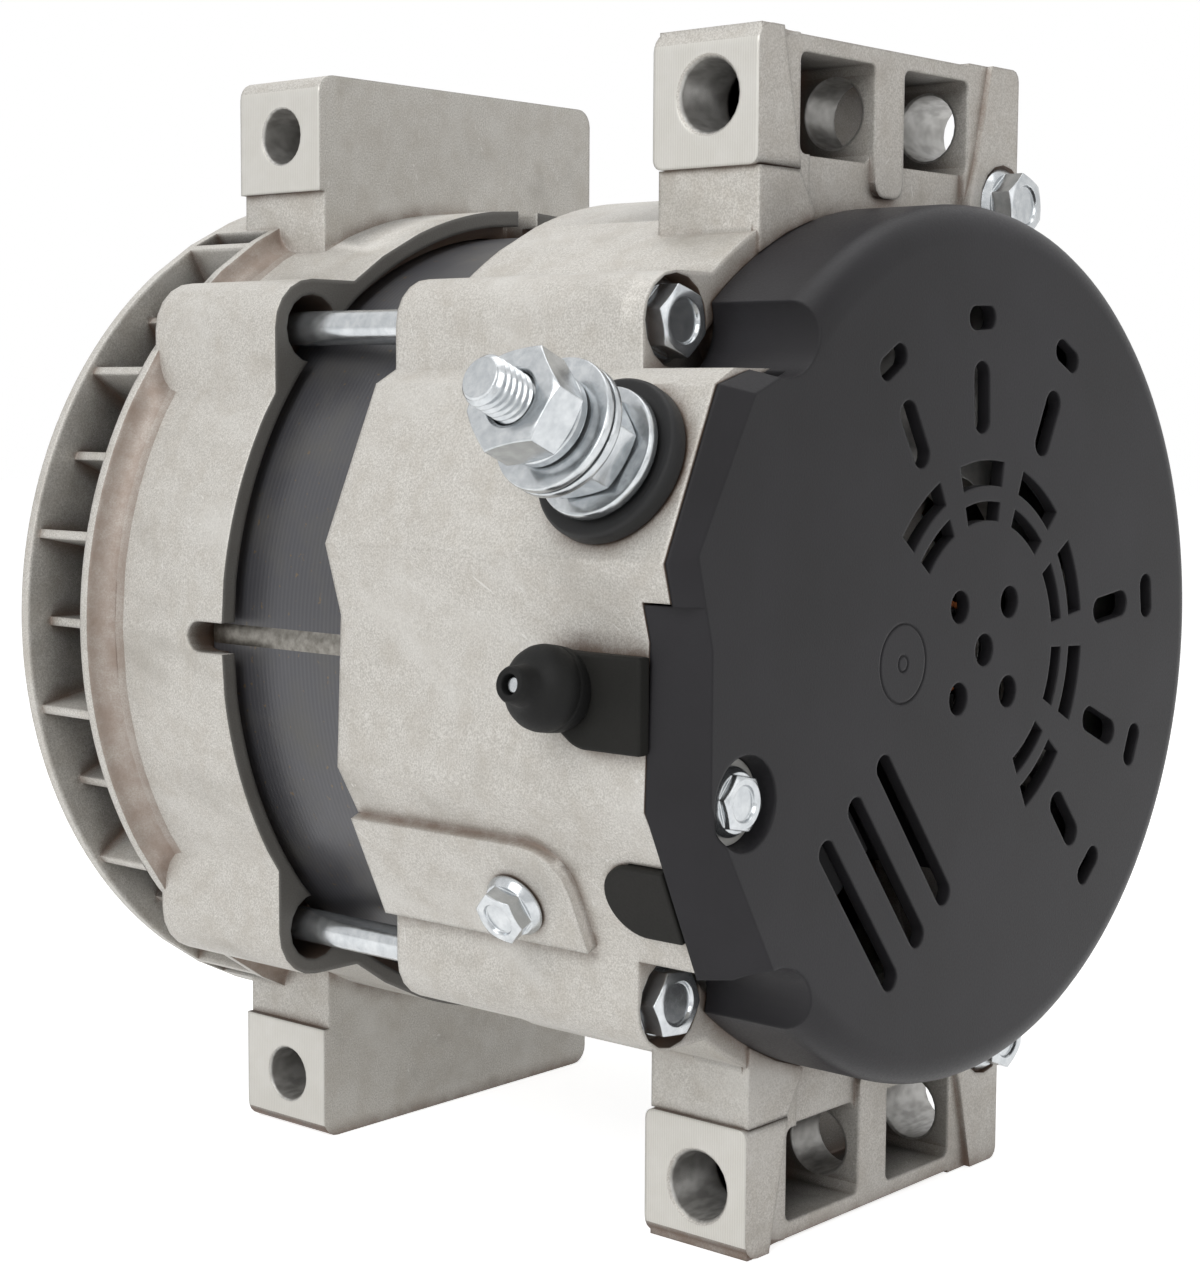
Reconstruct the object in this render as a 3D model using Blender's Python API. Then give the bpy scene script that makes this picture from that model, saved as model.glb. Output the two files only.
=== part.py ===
"""Heavy-duty pad-mount alternator with four lugs, slip-ring end to the rear.

X points right as seen from the rear, Y runs along the shaft toward the drive end, Z is up.
The origin is the centre of the shaft's drive-end face. Depths are measured forward from the
rear face of the plastic cover; station() turns a depth into a Y coordinate.
"""
import math

import bmesh
import bpy
from mathutils import Matrix, Vector

# Clearances shared by all pieces
FIT_GAP = 0.0003
SLIDE_GAP = 0.0003
RUNNING_GAP = 0.0006
OVERRUN = 0.0120
MERGE_DISTANCE = 0.000002
WELD_DISTANCE = 0.00002

# Overall
OVERALL_LENGTH = 0.2060

# Facets of turned surfaces
LARGE_SEGMENTS = 48
MEDIUM_SEGMENTS = 24
SMALL_SEGMENTS = 16
CORNER_STEPS = 3

# Stator
STATOR_RADIUS = 0.0718
STATOR_BORE_RADIUS = 0.0535
STATOR_REAR = 0.0660
STATOR_STACK = 0.0460
SLOT_COUNT = 36
TOOTH_TIP = 0.0021
CORE_BACK = 0.0056
SLOT_WIDTH = 0.0046
WINDING_OVERHANG_REAR = 0.0180
WINDING_OVERHANG_FRONT = 0.0190
WINDING_EDGE = 0.0035

# Body shells common to both ends
HOUSING_WALL = 0.0049
REAR_SEAT_OVERLAP = 0.0090
FRONT_SEAT_OVERLAP = 0.0080

# Four long bolts that clamp the stator between the housings
BOLT_ROD_RADIUS = 0.0030
BOLT_STATOR_GAP = 0.0022
SMALL_BOLT_ROD_RADIUS = 0.0023
SMALL_BOLT_SHARE = 0.8
BOLT_ANGLE = 43.8
BOLT_SEAT = 0.0260
BOLT_FLANGE_RADIUS = 0.0068
BOLT_FLANGE_THICKNESS = 0.0014
BOLT_HEX = 0.0100
BOLT_HEAD_HEIGHT = 0.0060
BOLT_HEAD_DISH = 0.0008
BOLT_TIP = 0.1300
BOLT_HOLE_CLEARANCE = 0.0006
SPOT_FACE_CLEARANCE = 0.0006

# Slip-ring-end housing
DECK_THICKNESS = 0.0040
REAR_RIM = 0.0215
REAR_CAVITY_SHOULDER = 0.0031
UNDER_COVER_RADIUS = 0.0710
REAR_LOBE_RADIUS = 0.0078
LOBE_ROOT_INSET = 0.0180
REAR_HUB_WALL = 0.0044
REAR_HUB_LENGTH = 0.0110
REAR_SHAFT_HOLE_RADIUS = 0.0110
DECK_WINDOW_INNER = 0.0290
DECK_WINDOW_OUTER = 0.0620
DECK_WINDOW_COUNT = 6
DECK_WINDOW_ANGLE = 34.0
SINK_PILLAR_RADIUS = 0.0045
SINK_PILLAR_STAND = 0.0010

# Facets of the rear housing's left side, each a plane beside the shaft axis
UPPER_FACET_ANGLE = 156.0
UPPER_FACET_STAND = 0.0028
MIDDLE_FACET_ANGLE = 177.9
MIDDLE_FACET_INSET = 0.0008
LOWER_FACET_ANGLE = 204.7
LOWER_FACET_INSET = 0.0004
FACET_TOP = 0.0460
FACET_BOTTOM = -0.0455
FACET_BREAK_UPPER = 0.0178
FACET_BREAK_MIDDLE = 0.0060
FACET_BREAK_LOWER = -0.0190
UPPER_LIP_REAR = 0.0040
LOWER_LIP_REAR = 0.0093
LIP_STEP_HEIGHT = 0.0120
REBATE_FLOOR = 0.0120
REBATE_CLEARANCE = 0.0004

# Raised pad and its bolt on the lower facet
RAISED_PAD_STAND = 0.0023
RAISED_PAD_REAR = 0.0295
RAISED_PAD_UPPER_EDGE = -0.0055
RAISED_PAD_LOWER_EDGE = 0.0133
RAISED_PAD_CORNER = 0.0080
SIDE_BOLT_DEPTH = 0.0417
SIDE_BOLT_OFFSET = 0.0057
SIDE_BOLT_HOLE = 0.0085

# Mounting lugs
LUG_HOLE_SPACING = 0.1800
LUG_HOLE_PITCH = 0.1025
LUG_HOLE_RADIUS = 0.0059
LUG_HOLE_CHAMFER = 0.0007
FRONT_LUG_HOLE_RADIUS = 0.0051
FRONT_LUG_HOLE_CHAMFER = 0.0004
LUG_HOLE_TO_TOP = 0.0108
LUG_PAD_X = -0.0365
LUG_PAD_PROUD = 0.0010
LUG_CORNER = 0.0034
LUG_END_CORNER = 0.0020
REAR_LUG_HOLE = 0.0310
REAR_LUG_REAR = 0.0210
REAR_LUG_FRONT = 0.0419
REAR_LUG_RIGHT = 0.0411
REAR_LUG_PAD_BOTTOM = 0.0785
REAR_LUG_PAD_WIDTH = 0.0130
REAR_LUG_RECESS = 0.0012
RECESS_TOP_LEFT = -0.0299
RECESS_MIDDLE_LEFT = -0.0249
RECESS_FOOT_LEFT = -0.0207
RECESS_FOOT_RIGHT = 0.0256
RECESS_MIDDLE_RIGHT = 0.0283
RECESS_TOP_RIGHT = 0.0323
RECESS_LEFT_BREAK = 0.0719
RECESS_RIGHT_BREAK = 0.0767
RECESS_RIGHT_MIDDLE = 0.0839
WEB_FOOT = 0.0755
WEB_FOOT_CORNER = 0.0025
NECK_GUSSET_RADIUS = 0.0095
NECK_GUSSET_DEPTH = 0.0100
NECK_GUSSET_LAP = 0.0010
REAR_LUG_NECK_RIGHT = 0.0400
LUG_ROOT_HEIGHT = 0.0520
POCKET_BOTTOM = 0.0812
POCKET_TOP = 0.0976
POCKET_CORNER = 0.0015
POCKET_LEFT = -0.0235
POCKET_WEB_LEFT = -0.0020
POCKET_WEB_RIGHT = 0.0063
POCKET_RIGHT = 0.0265
POCKET_BACK_WALL = 0.0030
FRONT_LUG_REAR = 0.1229
FRONT_LUG_FRONT = 0.1450
FRONT_LUG_RIGHT = 0.0392
FRONT_LUG_PAD_BOTTOM = 0.0795
FRONT_LUG_NECK_RIGHT = 0.0378
FRONT_LUG_NECK_INSET = 0.0013
FRONT_LUG_BACK_WALL = 0.0036
FRONT_POCKET_LEFT = -0.0270
FRONT_WEB_LEFT = -0.0020
FRONT_WEB_RIGHT = 0.0050
FRONT_POCKET_RIGHT = 0.0290

# Short flanged bolts on the rear faces of the lugs
LUG_BOLT_X = 0.0365
LUG_BOLT_HEIGHT = 0.0763
LUG_BOLT_SEAT = 0.0223
LUG_BOLT_LENGTH = 0.0130
LUG_BOLT_BOSS_RADIUS = 0.0076
LUG_BOLT_BOSS_FRONT = 0.0370

# Rear cover
COVER_WALL = 0.0024
COVER_DOME_INSET = 0.0034
COVER_RIM_ROUND = 0.0060
COVER_BOX_DEPTH = 0.0117
COVER_BOX_LAP = 0.0008
COVER_LEFT_X = -0.0512
COVER_UPPER_ANGLE = 151.8
COVER_UPPER_DISTANCE = 0.0763
COVER_LEFT_DISTANCE = 0.0728
COVER_LOWER_ANGLE = 211.1
COVER_LOWER_DISTANCE = 0.0715
COVER_BOX_TOP = 0.0470
COVER_BOX_TOP_LEFT = 0.0416
COVER_BOX_BOTTOM = -0.0462
COVER_BOX_ROOT_X = -0.0400
COVER_BREAK_UPPER = 0.0190
COVER_BREAK_MIDDLE = 0.0050
SCALLOP_RADIUS = 0.0088
SCALLOP_REAR = 0.0140
SCREW_X = -0.0645
SCREW_Z = -0.0182
SCREW_RECESS_RADIUS = 0.0074
SCREW_RECESS_DEPTH = 0.0037
SCREW_POST_RADIUS = 0.0040
SCREW_HEAD_HEIGHT = 0.0032
CENTRE_HOLE_RADIUS = 0.00275
CENTRE_HOLE_OFFSET = 0.0076
ARC_SLOT_OUTER = 0.0295
ARC_SLOT_INNER = 0.0232
ARC_SLOT_OUTER_WIDTH = 0.0042
ARC_SLOT_INNER_WIDTH = 0.0032
ARC_SLOT_SPAN = 24.5
ARC_SLOT_ANGLES = (129.0, 93.0, 57.0, 21.0, -15.0, -51.0)
RADIAL_SLOT_INNER = 0.0360
RADIAL_SLOT_OUTER = 0.0480
RADIAL_SLOT_WIDTH = 0.0047
RADIAL_SLOT_ANGLES = (121.0, 93.0, 63.5, 6.5, -23.0, -49.5)
END_SLOT_RADIUS = 0.0550
END_SLOT_LENGTH = 0.0080
END_SLOT_WIDTH = 0.0040
END_SLOT_ANGLES = (120.6, 92.6, 63.3, 6.3, -22.6, -49.0)
LONG_SLOT_WIDTH = 0.0043
LONG_SLOT_LENGTH = 0.0330
LONG_SLOT_PITCH = 0.0096
LONG_SLOT_X = -0.0275
LONG_SLOT_Z = -0.0340
LONG_SLOT_ANGLE = -52.3

# Drive-end housing
FRONT_RIM_INNER_RADIUS = 0.0741
FRONT_RIM_LIP = 0.0040
FRONT_CAVITY_SHOULDER = 0.0021
FRONT_LOBE_RADIUS = 0.0087
POCKET_HOLE_RADIUS = 0.0060
POCKET_HOLE_FRONT = 0.1160
BOLT_THREAD_FRONT = 0.1340
NOTCH_WIDTH = 0.0054
NOTCH_DEPTH = 0.0092
RIDGE_RADIUS = 0.0813
RIDGE_REAR = 0.1356
RIDGE_FILLET = 0.0048
RIDGE_STEPS = 4
VENT_REAR = 0.1375
VENT_FRONT = 0.1530
VENT_INNER_RADIUS = 0.0660
RIB_THICKNESS = 0.0016
RIB_ANGLE = 11.7
RIB_WINDOWS_PER_HALF = 5
RIB_SET_BACK = 0.0013
RIB_ROOT = 0.0010
SHORT_RIB_SET_BACK = 0.0050
FRONT_PLATE_FACE = 0.1560
FRONT_HUB_RADIUS = 0.0380
FRONT_HUB_FACE = 0.1620
FRONT_HUB_REAR = 0.1423
FRONT_HUB_EDGE = 0.0020
INLET_INNER_RADIUS = 0.0420
INLET_OUTER_RADIUS = 0.0640
INLET_COUNT = 8
INLET_ANGLE = 31.0
FRONT_SHAFT_HOLE_RADIUS = 0.0180

# Bearings
REAR_BEARING_RADIUS = 0.0200
REAR_BEARING_BORE = 0.0085
REAR_BEARING_WIDTH = 0.0120
REAR_BEARING_REAR = 0.0275
FRONT_BEARING_RADIUS = 0.0310
FRONT_BEARING_BORE = 0.0125
FRONT_BEARING_WIDTH = 0.0170
FRONT_BEARING_REAR = 0.1427
BEARING_RING_SHARE = 0.26
BEARING_SHIELD = 0.0010
BEARING_SHIELD_GAP = 0.0005

# Rotor
ROTOR_AIR_GAP = 0.0005
SHAFT_REAR = 0.0055
SHAFT_STEM_RADIUS = 0.0055
SHAFT_STEM_FRONT = 0.0220
SHAFT_MIDDLE_REAR = 0.0440
SHAFT_MIDDLE_RADIUS = 0.0110
SHAFT_CHAMFER = 0.0010
PULLEY_SEAT_RADIUS = 0.0111
PULLEY_SEAT_FRONT = 0.1880
SHAFT_THREAD_RADIUS = 0.0079
SLEEVE_REAR = 0.0062
SLEEVE_FRONT = 0.0210
SLEEVE_RADIUS = 0.0066
RING_RADIUS = 0.0080
RING_WIDTH = 0.0045
OUTER_RING_REAR = 0.0075
INNER_RING_REAR = 0.0140
POLE_REAR = 0.0600
POLE_FRONT = 0.1180
POLE_DISC = 0.0100
POLE_CORE_RADIUS = 0.0280
POLE_DISC_RADIUS = 0.0410
POLE_COUNT = 6
FINGER_ROOT = 0.0220
FINGER_TIP = 0.0090
FINGER_ROOT_THICKNESS = 0.0095
FINGER_TIP_THICKNESS = 0.0040
FINGER_END_GAP = 0.0030
COIL_OUTER_RADIUS = 0.0425
COIL_END_GAP = 0.0030
FAN_REAR = 0.1368
FAN_DISC = 0.0016
FAN_RADIUS = 0.0640
FAN_BLADE_FRONT = 0.1500
FAN_BLADE_INNER = 0.0430
FAN_BLADE_THICKNESS = 0.0016
FAN_BLADES = 11
FAN_BLADE_SWEEP = 24.0
FAN_BLADE_MIDDLE_SHARE = 0.38
SPACER_RADIUS = 0.0170
RETAINER_THICKNESS = 0.0020
RETAINER_RADIUS = 0.0372
RETAINER_BORE_RADIUS = 0.0270
RETAINER_SCREW_CIRCLE = 0.0345
RETAINER_SCREW_RADIUS = 0.0016
RETAINER_HEAD_RADIUS = 0.0024
RETAINER_HEAD_HEIGHT = 0.0006
RETAINER_SCREW_LENGTH = 0.0080
RETAINER_SCREW_ANGLES = (45.0, 135.0, 225.0, 315.0)
COLLAR_RADIUS = 0.0160
COLLAR_LENGTH = 0.0060
SHAFT_WASHER_RADIUS = 0.0145
SHAFT_WASHER_THICKNESS = 0.0030
SHAFT_NUT_HEX = 0.0240
SHAFT_NUT_HEIGHT = 0.0110

# Rectifier
POSITIVE_SINK_REAR = 0.0110
NEGATIVE_SINK_REAR = 0.0200
SINK_THICKNESS = 0.0030
SINK_INNER_RADIUS = 0.0300
SINK_CLEARANCE = 0.0070
SINK_START = -38.0
SINK_END = 172.0
SINK_LEG_RADIUS = 0.0032
SINK_LEG_ANGLES = (-20.0, 65.0, 128.0)
DIODE_RADIUS = 0.0060
DIODE_LENGTH = 0.0070
DIODE_OFFSET = 0.0020
POSITIVE_DIODE_ANGLES = (10.0, 43.0, 88.0)
NEGATIVE_DIODE_ANGLES = (-12.0, 26.0, 108.0)

# Battery stud on the upper facet
STUD_ANGLE = 156.7
STUD_DEPTH = 0.0180
STUD_RADIUS = 0.0041
STUD_FOOT_RADIUS = 0.0620
STUD_TIP = 0.1118
STUD_POINT = 0.0010
STUD_BOSS_RADIUS = 0.0070
INSULATOR_RADIUS = 0.01285
INSULATOR_BASE = 0.0802
INSULATOR_THICKNESS = 0.0030
INSULATOR_SLEEVE_RADIUS = 0.0067
INSULATOR_SLEEVE_LENGTH = 0.0030
STUD_WASHER_RADIUS = 0.0104
LARGE_WASHER_THICKNESS = 0.0022
STUD_NUT_HEX = 0.0148
STUD_NUT_HEIGHT = 0.0060
THIN_WASHER_THICKNESS = 0.0016
SPRING_WASHER_RADIUS = 0.0072
SPRING_WASHER_THICKNESS = 0.0022
STUD_OUTER_NUT_HEIGHT = 0.0065
STUD_THREAD_GAP = 0.0003

# Relay terminal on the middle facet
RELAY_AXIS_ANGLE = 171.0
RELAY_DEPTH = 0.0240
RELAY_X = -0.0791
RELAY_Z = -0.0019
RELAY_ARM_REAR = 0.0030
RELAY_ARM_FRONT = 0.0185
RELAY_ARM_TOP = 0.0040
RELAY_ARM_BOTTOM = -0.0105
RELAY_ARM_FACE = -0.0796
RELAY_ARM_GAP = 0.0006
RELAY_PAD_RADIUS = 0.0060
RELAY_SLEEVE_RADIUS = 0.0030
RELAY_SLEEVE_LENGTH = 0.0080
RELAY_STUD_RADIUS = 0.0013
BOOT_BASE_RADIUS = 0.0057
BOOT_SHOULDER_RADIUS = 0.0066
BOOT_SHOULDER_OUT = 0.0055
BOOT_NECK_RADIUS = 0.0028
BOOT_NECK_OUT = 0.0088
BOOT_LENGTH = 0.0106
BOOT_BORE_RADIUS = 0.0016

# Half-moon plug on the lower facet
PLUG_REAR = 0.0056
PLUG_FRONT = 0.0230
PLUG_UPPER = -0.0040
PLUG_LOWER = 0.0090
PLUG_PROUD = 0.0010
PLUG_THICKNESS = 0.0042

# Regulator and brushes
REGULATOR_X = -0.0350
REGULATOR_Z = -0.0330
REGULATOR_LENGTH = 0.0400
REGULATOR_WIDTH = 0.0240
REGULATOR_REAR = 0.0085
REGULATOR_BODY_FRONT = 0.0200
REGULATOR_ANGLE = -52.3
REGULATOR_FOOT_SHARE = 0.3
HOLDER_HALF_WIDTH = 0.0062
HOLDER_REAR = 0.0056
HOLDER_FRONT = 0.0204
HOLDER_TOP = -0.0105
HOLDER_BOTTOM = -0.0368
HOLDER_END_WALL = 0.0030
HOLDER_FOOT_HALF_WIDTH = 0.0040
BRUSH_WIDTH = 0.0060
BRUSH_THICKNESS = 0.0040
BRUSH_LENGTH = 0.0120
SPRING_RADIUS = 0.0014
SPRING_WIRE_RADIUS = 0.0003
SPRING_TURNS = 5


def station(depth):
    """Y coordinate of a depth measured from the cover's rear face."""
    return depth - OVERALL_LENGTH


def polar(radius, angle):
    """A point (x, z) at a radius and an angle in degrees about the shaft."""
    turn = math.radians(angle)
    return radius * math.cos(turn), radius * math.sin(turn)


def shaft_frame(x=0.0, z=0.0):
    """Local x and y follow X and Z, and local z runs rearward from depth zero."""
    frame = Matrix(((1, 0, 0), (0, 0, -1), (0, 1, 0))).to_4x4()
    return Matrix.Translation((x, station(0.0), z)) @ frame


def facet_frame(angle, distance):
    """Local x is depth, local y runs along the facet, local z points out of it."""
    turn = math.radians(angle)
    outward = Vector((math.cos(turn), 0, math.sin(turn)))
    along = Vector((-math.sin(turn), 0, math.cos(turn)))
    frame = Matrix((Vector((0, 1, 0)), along, outward)).transposed().to_4x4()
    origin = outward * distance + Vector((0, station(0.0), 0))
    return Matrix.Translation(origin) @ frame


def solid_from(bm, matrix):
    """Place a closed bmesh as a scene object with its faces pointing out."""
    bmesh.ops.transform(bm, matrix=matrix, verts=bm.verts)
    bmesh.ops.recalc_face_normals(bm, faces=bm.faces)
    mesh = bpy.data.meshes.new("solid")
    bm.to_mesh(mesh)
    bm.free()
    solid = bpy.data.objects.new("solid", mesh)
    bpy.context.scene.collection.objects.link(solid)
    return solid


def extruded(outline, matrix, low, high):
    """Extrude a closed outline of local points from one height to another."""
    bm = bmesh.new()
    base = bm.faces.new([bm.verts.new((a, b, low)) for a, b in outline])
    grown = bmesh.ops.extrude_face_region(bm, geom=[base])
    top = [item for item in grown["geom"] if isinstance(item, bmesh.types.BMVert)]
    bmesh.ops.translate(bm, vec=(0, 0, high - low), verts=top)
    return solid_from(bm, matrix)


def prism(outline, near, far):
    """Extrude an (x, z) outline along the shaft between two depths."""
    return extruded(outline, shaft_frame(), -far, -near)


def turned(profile, matrix, segments):
    """Revolve (radius, height) points about local z; a profile off the axis closes on itself."""
    bm = bmesh.new()
    points = [bm.verts.new((radius, 0, height)) for radius, height in profile]
    pairs = list(zip(points, points[1:]))
    if profile[0][0] > 0 or profile[-1][0] > 0:
        pairs.append((points[-1], points[0]))
    edges = [bm.edges.new(pair) for pair in pairs]
    bmesh.ops.spin(bm, geom=points + edges, axis=(0, 0, 1), cent=(0, 0, 0),
                   angle=math.tau, steps=segments, use_merge=True)
    bmesh.ops.remove_doubles(bm, verts=bm.verts, dist=MERGE_DISTANCE)
    return solid_from(bm, matrix)


def lathe(profile, segments=LARGE_SEGMENTS, x=0.0, z=0.0):
    """Revolve (radius, depth) points about the shaft or a line parallel to it."""
    return turned([(radius, -depth) for radius, depth in profile], shaft_frame(x, z), segments)


def drum(radius, near, far, segments=SMALL_SEGMENTS, x=0.0, z=0.0):
    """A plain cylinder along the shaft between two depths."""
    return lathe([(0.0, near), (radius, near), (radius, far), (0.0, far)], segments, x, z)


def pin(matrix, radius, low, high, segments=SMALL_SEGMENTS):
    """A plain cylinder along a frame's outward axis."""
    return turned([(0.0, low), (radius, low), (radius, high), (0.0, high)], matrix, segments)


def tube(outer, inner, near, far, segments=MEDIUM_SEGMENTS):
    """A plain ring along the shaft between two depths."""
    return lathe([(inner, near), (outer, near), (outer, far), (inner, far)], segments)


def hexagon(across_flats, turn=0.0):
    """Outline of a hexagon given across its flats."""
    corner = across_flats / 2 / math.cos(math.radians(30))
    return [polar(corner, turn + 60 * index) for index in range(6)]


def sector(inner, outer, start, end, steps=CORNER_STEPS):
    """Outline of a ring sector between two angles."""
    angles = [start + (end - start) * step / steps for step in range(steps + 1)]
    rim = [polar(outer, angle) for angle in angles]
    return rim + [polar(inner, angle) for angle in reversed(angles)]


def arc(centre_x, centre_z, radius, start, end, steps=CORNER_STEPS):
    """Points of an arc about a centre."""
    points = []
    for step in range(steps + 1):
        x, z = polar(radius, start + (end - start) * step / steps)
        points.append((centre_x + x, centre_z + z))
    return points


def rounded_box(left, right, bottom, top, corner, steps=3):
    """Outline of a rectangle with rounded corners."""
    outline = arc(right - corner, bottom + corner, corner, -90, 0, steps)
    outline += arc(right - corner, top - corner, corner, 0, 90, steps)
    outline += arc(left + corner, top - corner, corner, 90, 180, steps)
    outline += arc(left + corner, bottom + corner, corner, 180, 270, steps)
    return outline


def slot(centre_x, centre_z, length, width, angle, steps=CORNER_STEPS):
    """Outline of a straight slot with round ends, its long side at an angle."""
    half = length / 2 - width / 2
    run_x, run_z = polar(half, angle)
    outline = arc(centre_x + run_x, centre_z + run_z, width / 2, angle - 90, angle + 90, steps)
    return outline + arc(centre_x - run_x, centre_z - run_z, width / 2, angle + 90, angle + 270, steps)


def corner_of(first, second):
    """Where two facet lines meet, each given as (angle, distance)."""
    a, b = math.radians(first[0]), math.radians(second[0])
    spread = math.sin(b - a)
    x = (first[1] * math.sin(b) - second[1] * math.sin(a)) / spread
    z = (second[1] * math.cos(a) - first[1] * math.cos(b)) / spread
    return x, z


def outline_of(lines):
    """Corners of the closed outline bounded by facet lines in order."""
    return [corner_of(lines[index - 1], lines[index]) for index in range(len(lines))]


def join(solids):
    """Gather separate closed solids in one object so that one Boolean applies them all."""
    bm = bmesh.new()
    for solid in solids:
        bm.from_mesh(solid.data)
        bpy.data.objects.remove(solid)
    return solid_from(bm, Matrix.Identity(4))


def tidy(mesh):
    """Weld points that coincide and merge faces that lie in one plane."""
    bm = bmesh.new()
    bm.from_mesh(mesh)
    bmesh.ops.remove_doubles(bm, verts=bm.verts, dist=WELD_DISTANCE)
    bmesh.ops.dissolve_degenerate(bm, edges=bm.edges, dist=WELD_DISTANCE)
    bmesh.ops.dissolve_limit(bm, angle_limit=math.radians(0.3), verts=bm.verts, edges=bm.edges)
    bm.to_mesh(mesh)
    bm.free()


def combine(target, tools, operation):
    """Apply exact Booleans of the tools to the target and remove the tools."""
    for tool in tools:
        modifier = target.modifiers.new("combine", "BOOLEAN")
        modifier.operation = operation
        modifier.solver = "EXACT"
        modifier.object = tool
    depsgraph = bpy.context.evaluated_depsgraph_get()
    mesh = bpy.data.meshes.new_from_object(target.evaluated_get(depsgraph))
    target.modifiers.clear()
    tidy(mesh)
    target.data = mesh
    for tool in tools:
        bpy.data.objects.remove(tool)
    return target


def union(target, *tools):
    return combine(target, tools, "UNION")


def cut(target, *tools):
    return combine(target, tools, "DIFFERENCE")


def common(target, *tools):
    return combine(target, tools, "INTERSECT")


def clear_scene():
    """Remove whatever the scene holds."""
    for item in list(bpy.data.objects):
        bpy.data.objects.remove(item)


def surface(name, colour, roughness, metallic):
    """A Principled material from an sRGB hex colour."""
    linear = []
    for index in (0, 2, 4):
        value = int(colour[index:index + 2], 16) / 255
        linear.append(value / 12.92 if value <= 0.04045 else ((value + 0.055) / 1.055) ** 2.4)
    material = bpy.data.materials.new(name)
    material.use_nodes = True
    shader = material.node_tree.nodes["Principled BSDF"]
    shader.inputs["Base Color"].default_value = (*linear, 1.0)
    shader.inputs["Roughness"].default_value = roughness
    shader.inputs["Metallic"].default_value = metallic
    material.diffuse_color = (*linear, 1.0)
    return material


def named(name, solid, material, origin=None, parent=None):
    """Name a finished solid, give it its material, origin and parent, and smooth its round faces."""
    mesh = solid.data
    solid.name = name
    mesh.name = name
    mesh.materials.clear()
    mesh.materials.append(material)
    if origin is not None:
        mesh.transform(Matrix.Translation(-origin))
        solid.location = origin
    mesh.shade_smooth()
    mesh.set_sharp_from_angle(angle=math.radians(30))
    if parent is not None:
        solid.parent = parent
    return solid


# Values worked out from the sizes above
STATOR_FRONT = STATOR_REAR + STATOR_STACK
SEAT_RADIUS = STATOR_RADIUS + FIT_GAP
HOUSING_RADIUS = SEAT_RADIUS + HOUSING_WALL
REAR_HOUSING_FRONT = STATOR_REAR + REAR_SEAT_OVERLAP
FRONT_RIM = STATOR_FRONT - FRONT_SEAT_OVERLAP
BOLT_CIRCLE = STATOR_RADIUS + BOLT_STATOR_GAP + BOLT_ROD_RADIUS
BOLT_X, BOLT_Z = polar(BOLT_CIRCLE, BOLT_ANGLE)
SPOT_FACE_RADIUS = BOLT_FLANGE_RADIUS + SPOT_FACE_CLEARANCE
SLOT_INNER_RADIUS = STATOR_BORE_RADIUS + TOOTH_TIP
SLOT_OUTER_RADIUS = STATOR_RADIUS - CORE_BACK
SINK_OUTER_RADIUS = UNDER_COVER_RADIUS - SINK_CLEARANCE
SINK_PILLAR_CIRCLE = SINK_OUTER_RADIUS + SINK_PILLAR_STAND
DIODE_CIRCLE = (SINK_INNER_RADIUS + SINK_OUTER_RADIUS) / 2 + DIODE_OFFSET
LUG_HOLE_Z = LUG_HOLE_SPACING / 2
LUG_TOP = LUG_HOLE_Z + LUG_HOLE_TO_TOP
FRONT_LUG_HOLE = REAR_LUG_HOLE + LUG_HOLE_PITCH
DOME_RADIUS = HOUSING_RADIUS - COVER_DOME_INSET
DOME_FRONT = REAR_RIM - FIT_GAP
DECK_REAR = BOLT_SEAT
DECK_FRONT = DECK_REAR + DECK_THICKNESS
UPPER_FACET_DISTANCE = HOUSING_RADIUS + UPPER_FACET_STAND
MIDDLE_FACET_DISTANCE = HOUSING_RADIUS - MIDDLE_FACET_INSET
LOWER_FACET_DISTANCE = HOUSING_RADIUS - LOWER_FACET_INSET
ROTOR_RADIUS = STATOR_BORE_RADIUS - ROTOR_AIR_GAP
SCREW_SEAT = SCREW_RECESS_DEPTH
SCREW_POST_REAR = SCREW_RECESS_DEPTH + COVER_WALL + FIT_GAP
QUADRANTS = (("upper_left", -1, 1), ("upper_right", 1, 1), ("lower_left", -1, -1), ("lower_right", 1, -1))


def mirrored(outline, side_x, side_z):
    """Reflect an outline into a quadrant."""
    return [(x * side_x, z * side_z) for x, z in outline]


def lobe_outline(radius):
    """Flat-topped, flat-sided boss around the bolt in the upper right quadrant."""
    root = BOLT_X - LOBE_ROOT_INSET
    outline = [(root, root), (BOLT_X + radius, root)]
    outline += arc(BOLT_X, BOLT_Z, radius, 0, 90, 5)
    outline.append((root, BOLT_Z + radius))
    return outline


def lobes(radius, near, far):
    """The four bolt bosses of one housing."""
    return [prism(mirrored(lobe_outline(radius), sx, sz), near, far) for _, sx, sz in QUADRANTS]


def facet_outline():
    """Left side of the rear housing, a run of flat facets closed inside the body."""
    upper = (UPPER_FACET_ANGLE, UPPER_FACET_DISTANCE)
    middle = (MIDDLE_FACET_ANGLE, MIDDLE_FACET_DISTANCE)
    lower = (LOWER_FACET_ANGLE, LOWER_FACET_DISTANCE)
    outline = [(COVER_BOX_ROOT_X, FACET_TOP)]
    outline.append((-(BOLT_X + REAR_LOBE_RADIUS), FACET_TOP))
    outline.append(corner_of((90, FACET_TOP - COVER_WALL), upper))
    outline.append(corner_of((90, FACET_BREAK_UPPER), upper))
    outline.append(corner_of((90, FACET_BREAK_MIDDLE), middle))
    outline.append(corner_of((90, FACET_BREAK_LOWER), middle))
    outline.append(corner_of((90, FACET_BREAK_LOWER - LIP_STEP_HEIGHT), lower))
    outline.append(corner_of((90, FACET_BOTTOM), lower))
    outline.append((COVER_BOX_ROOT_X, FACET_BOTTOM))
    return outline


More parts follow.
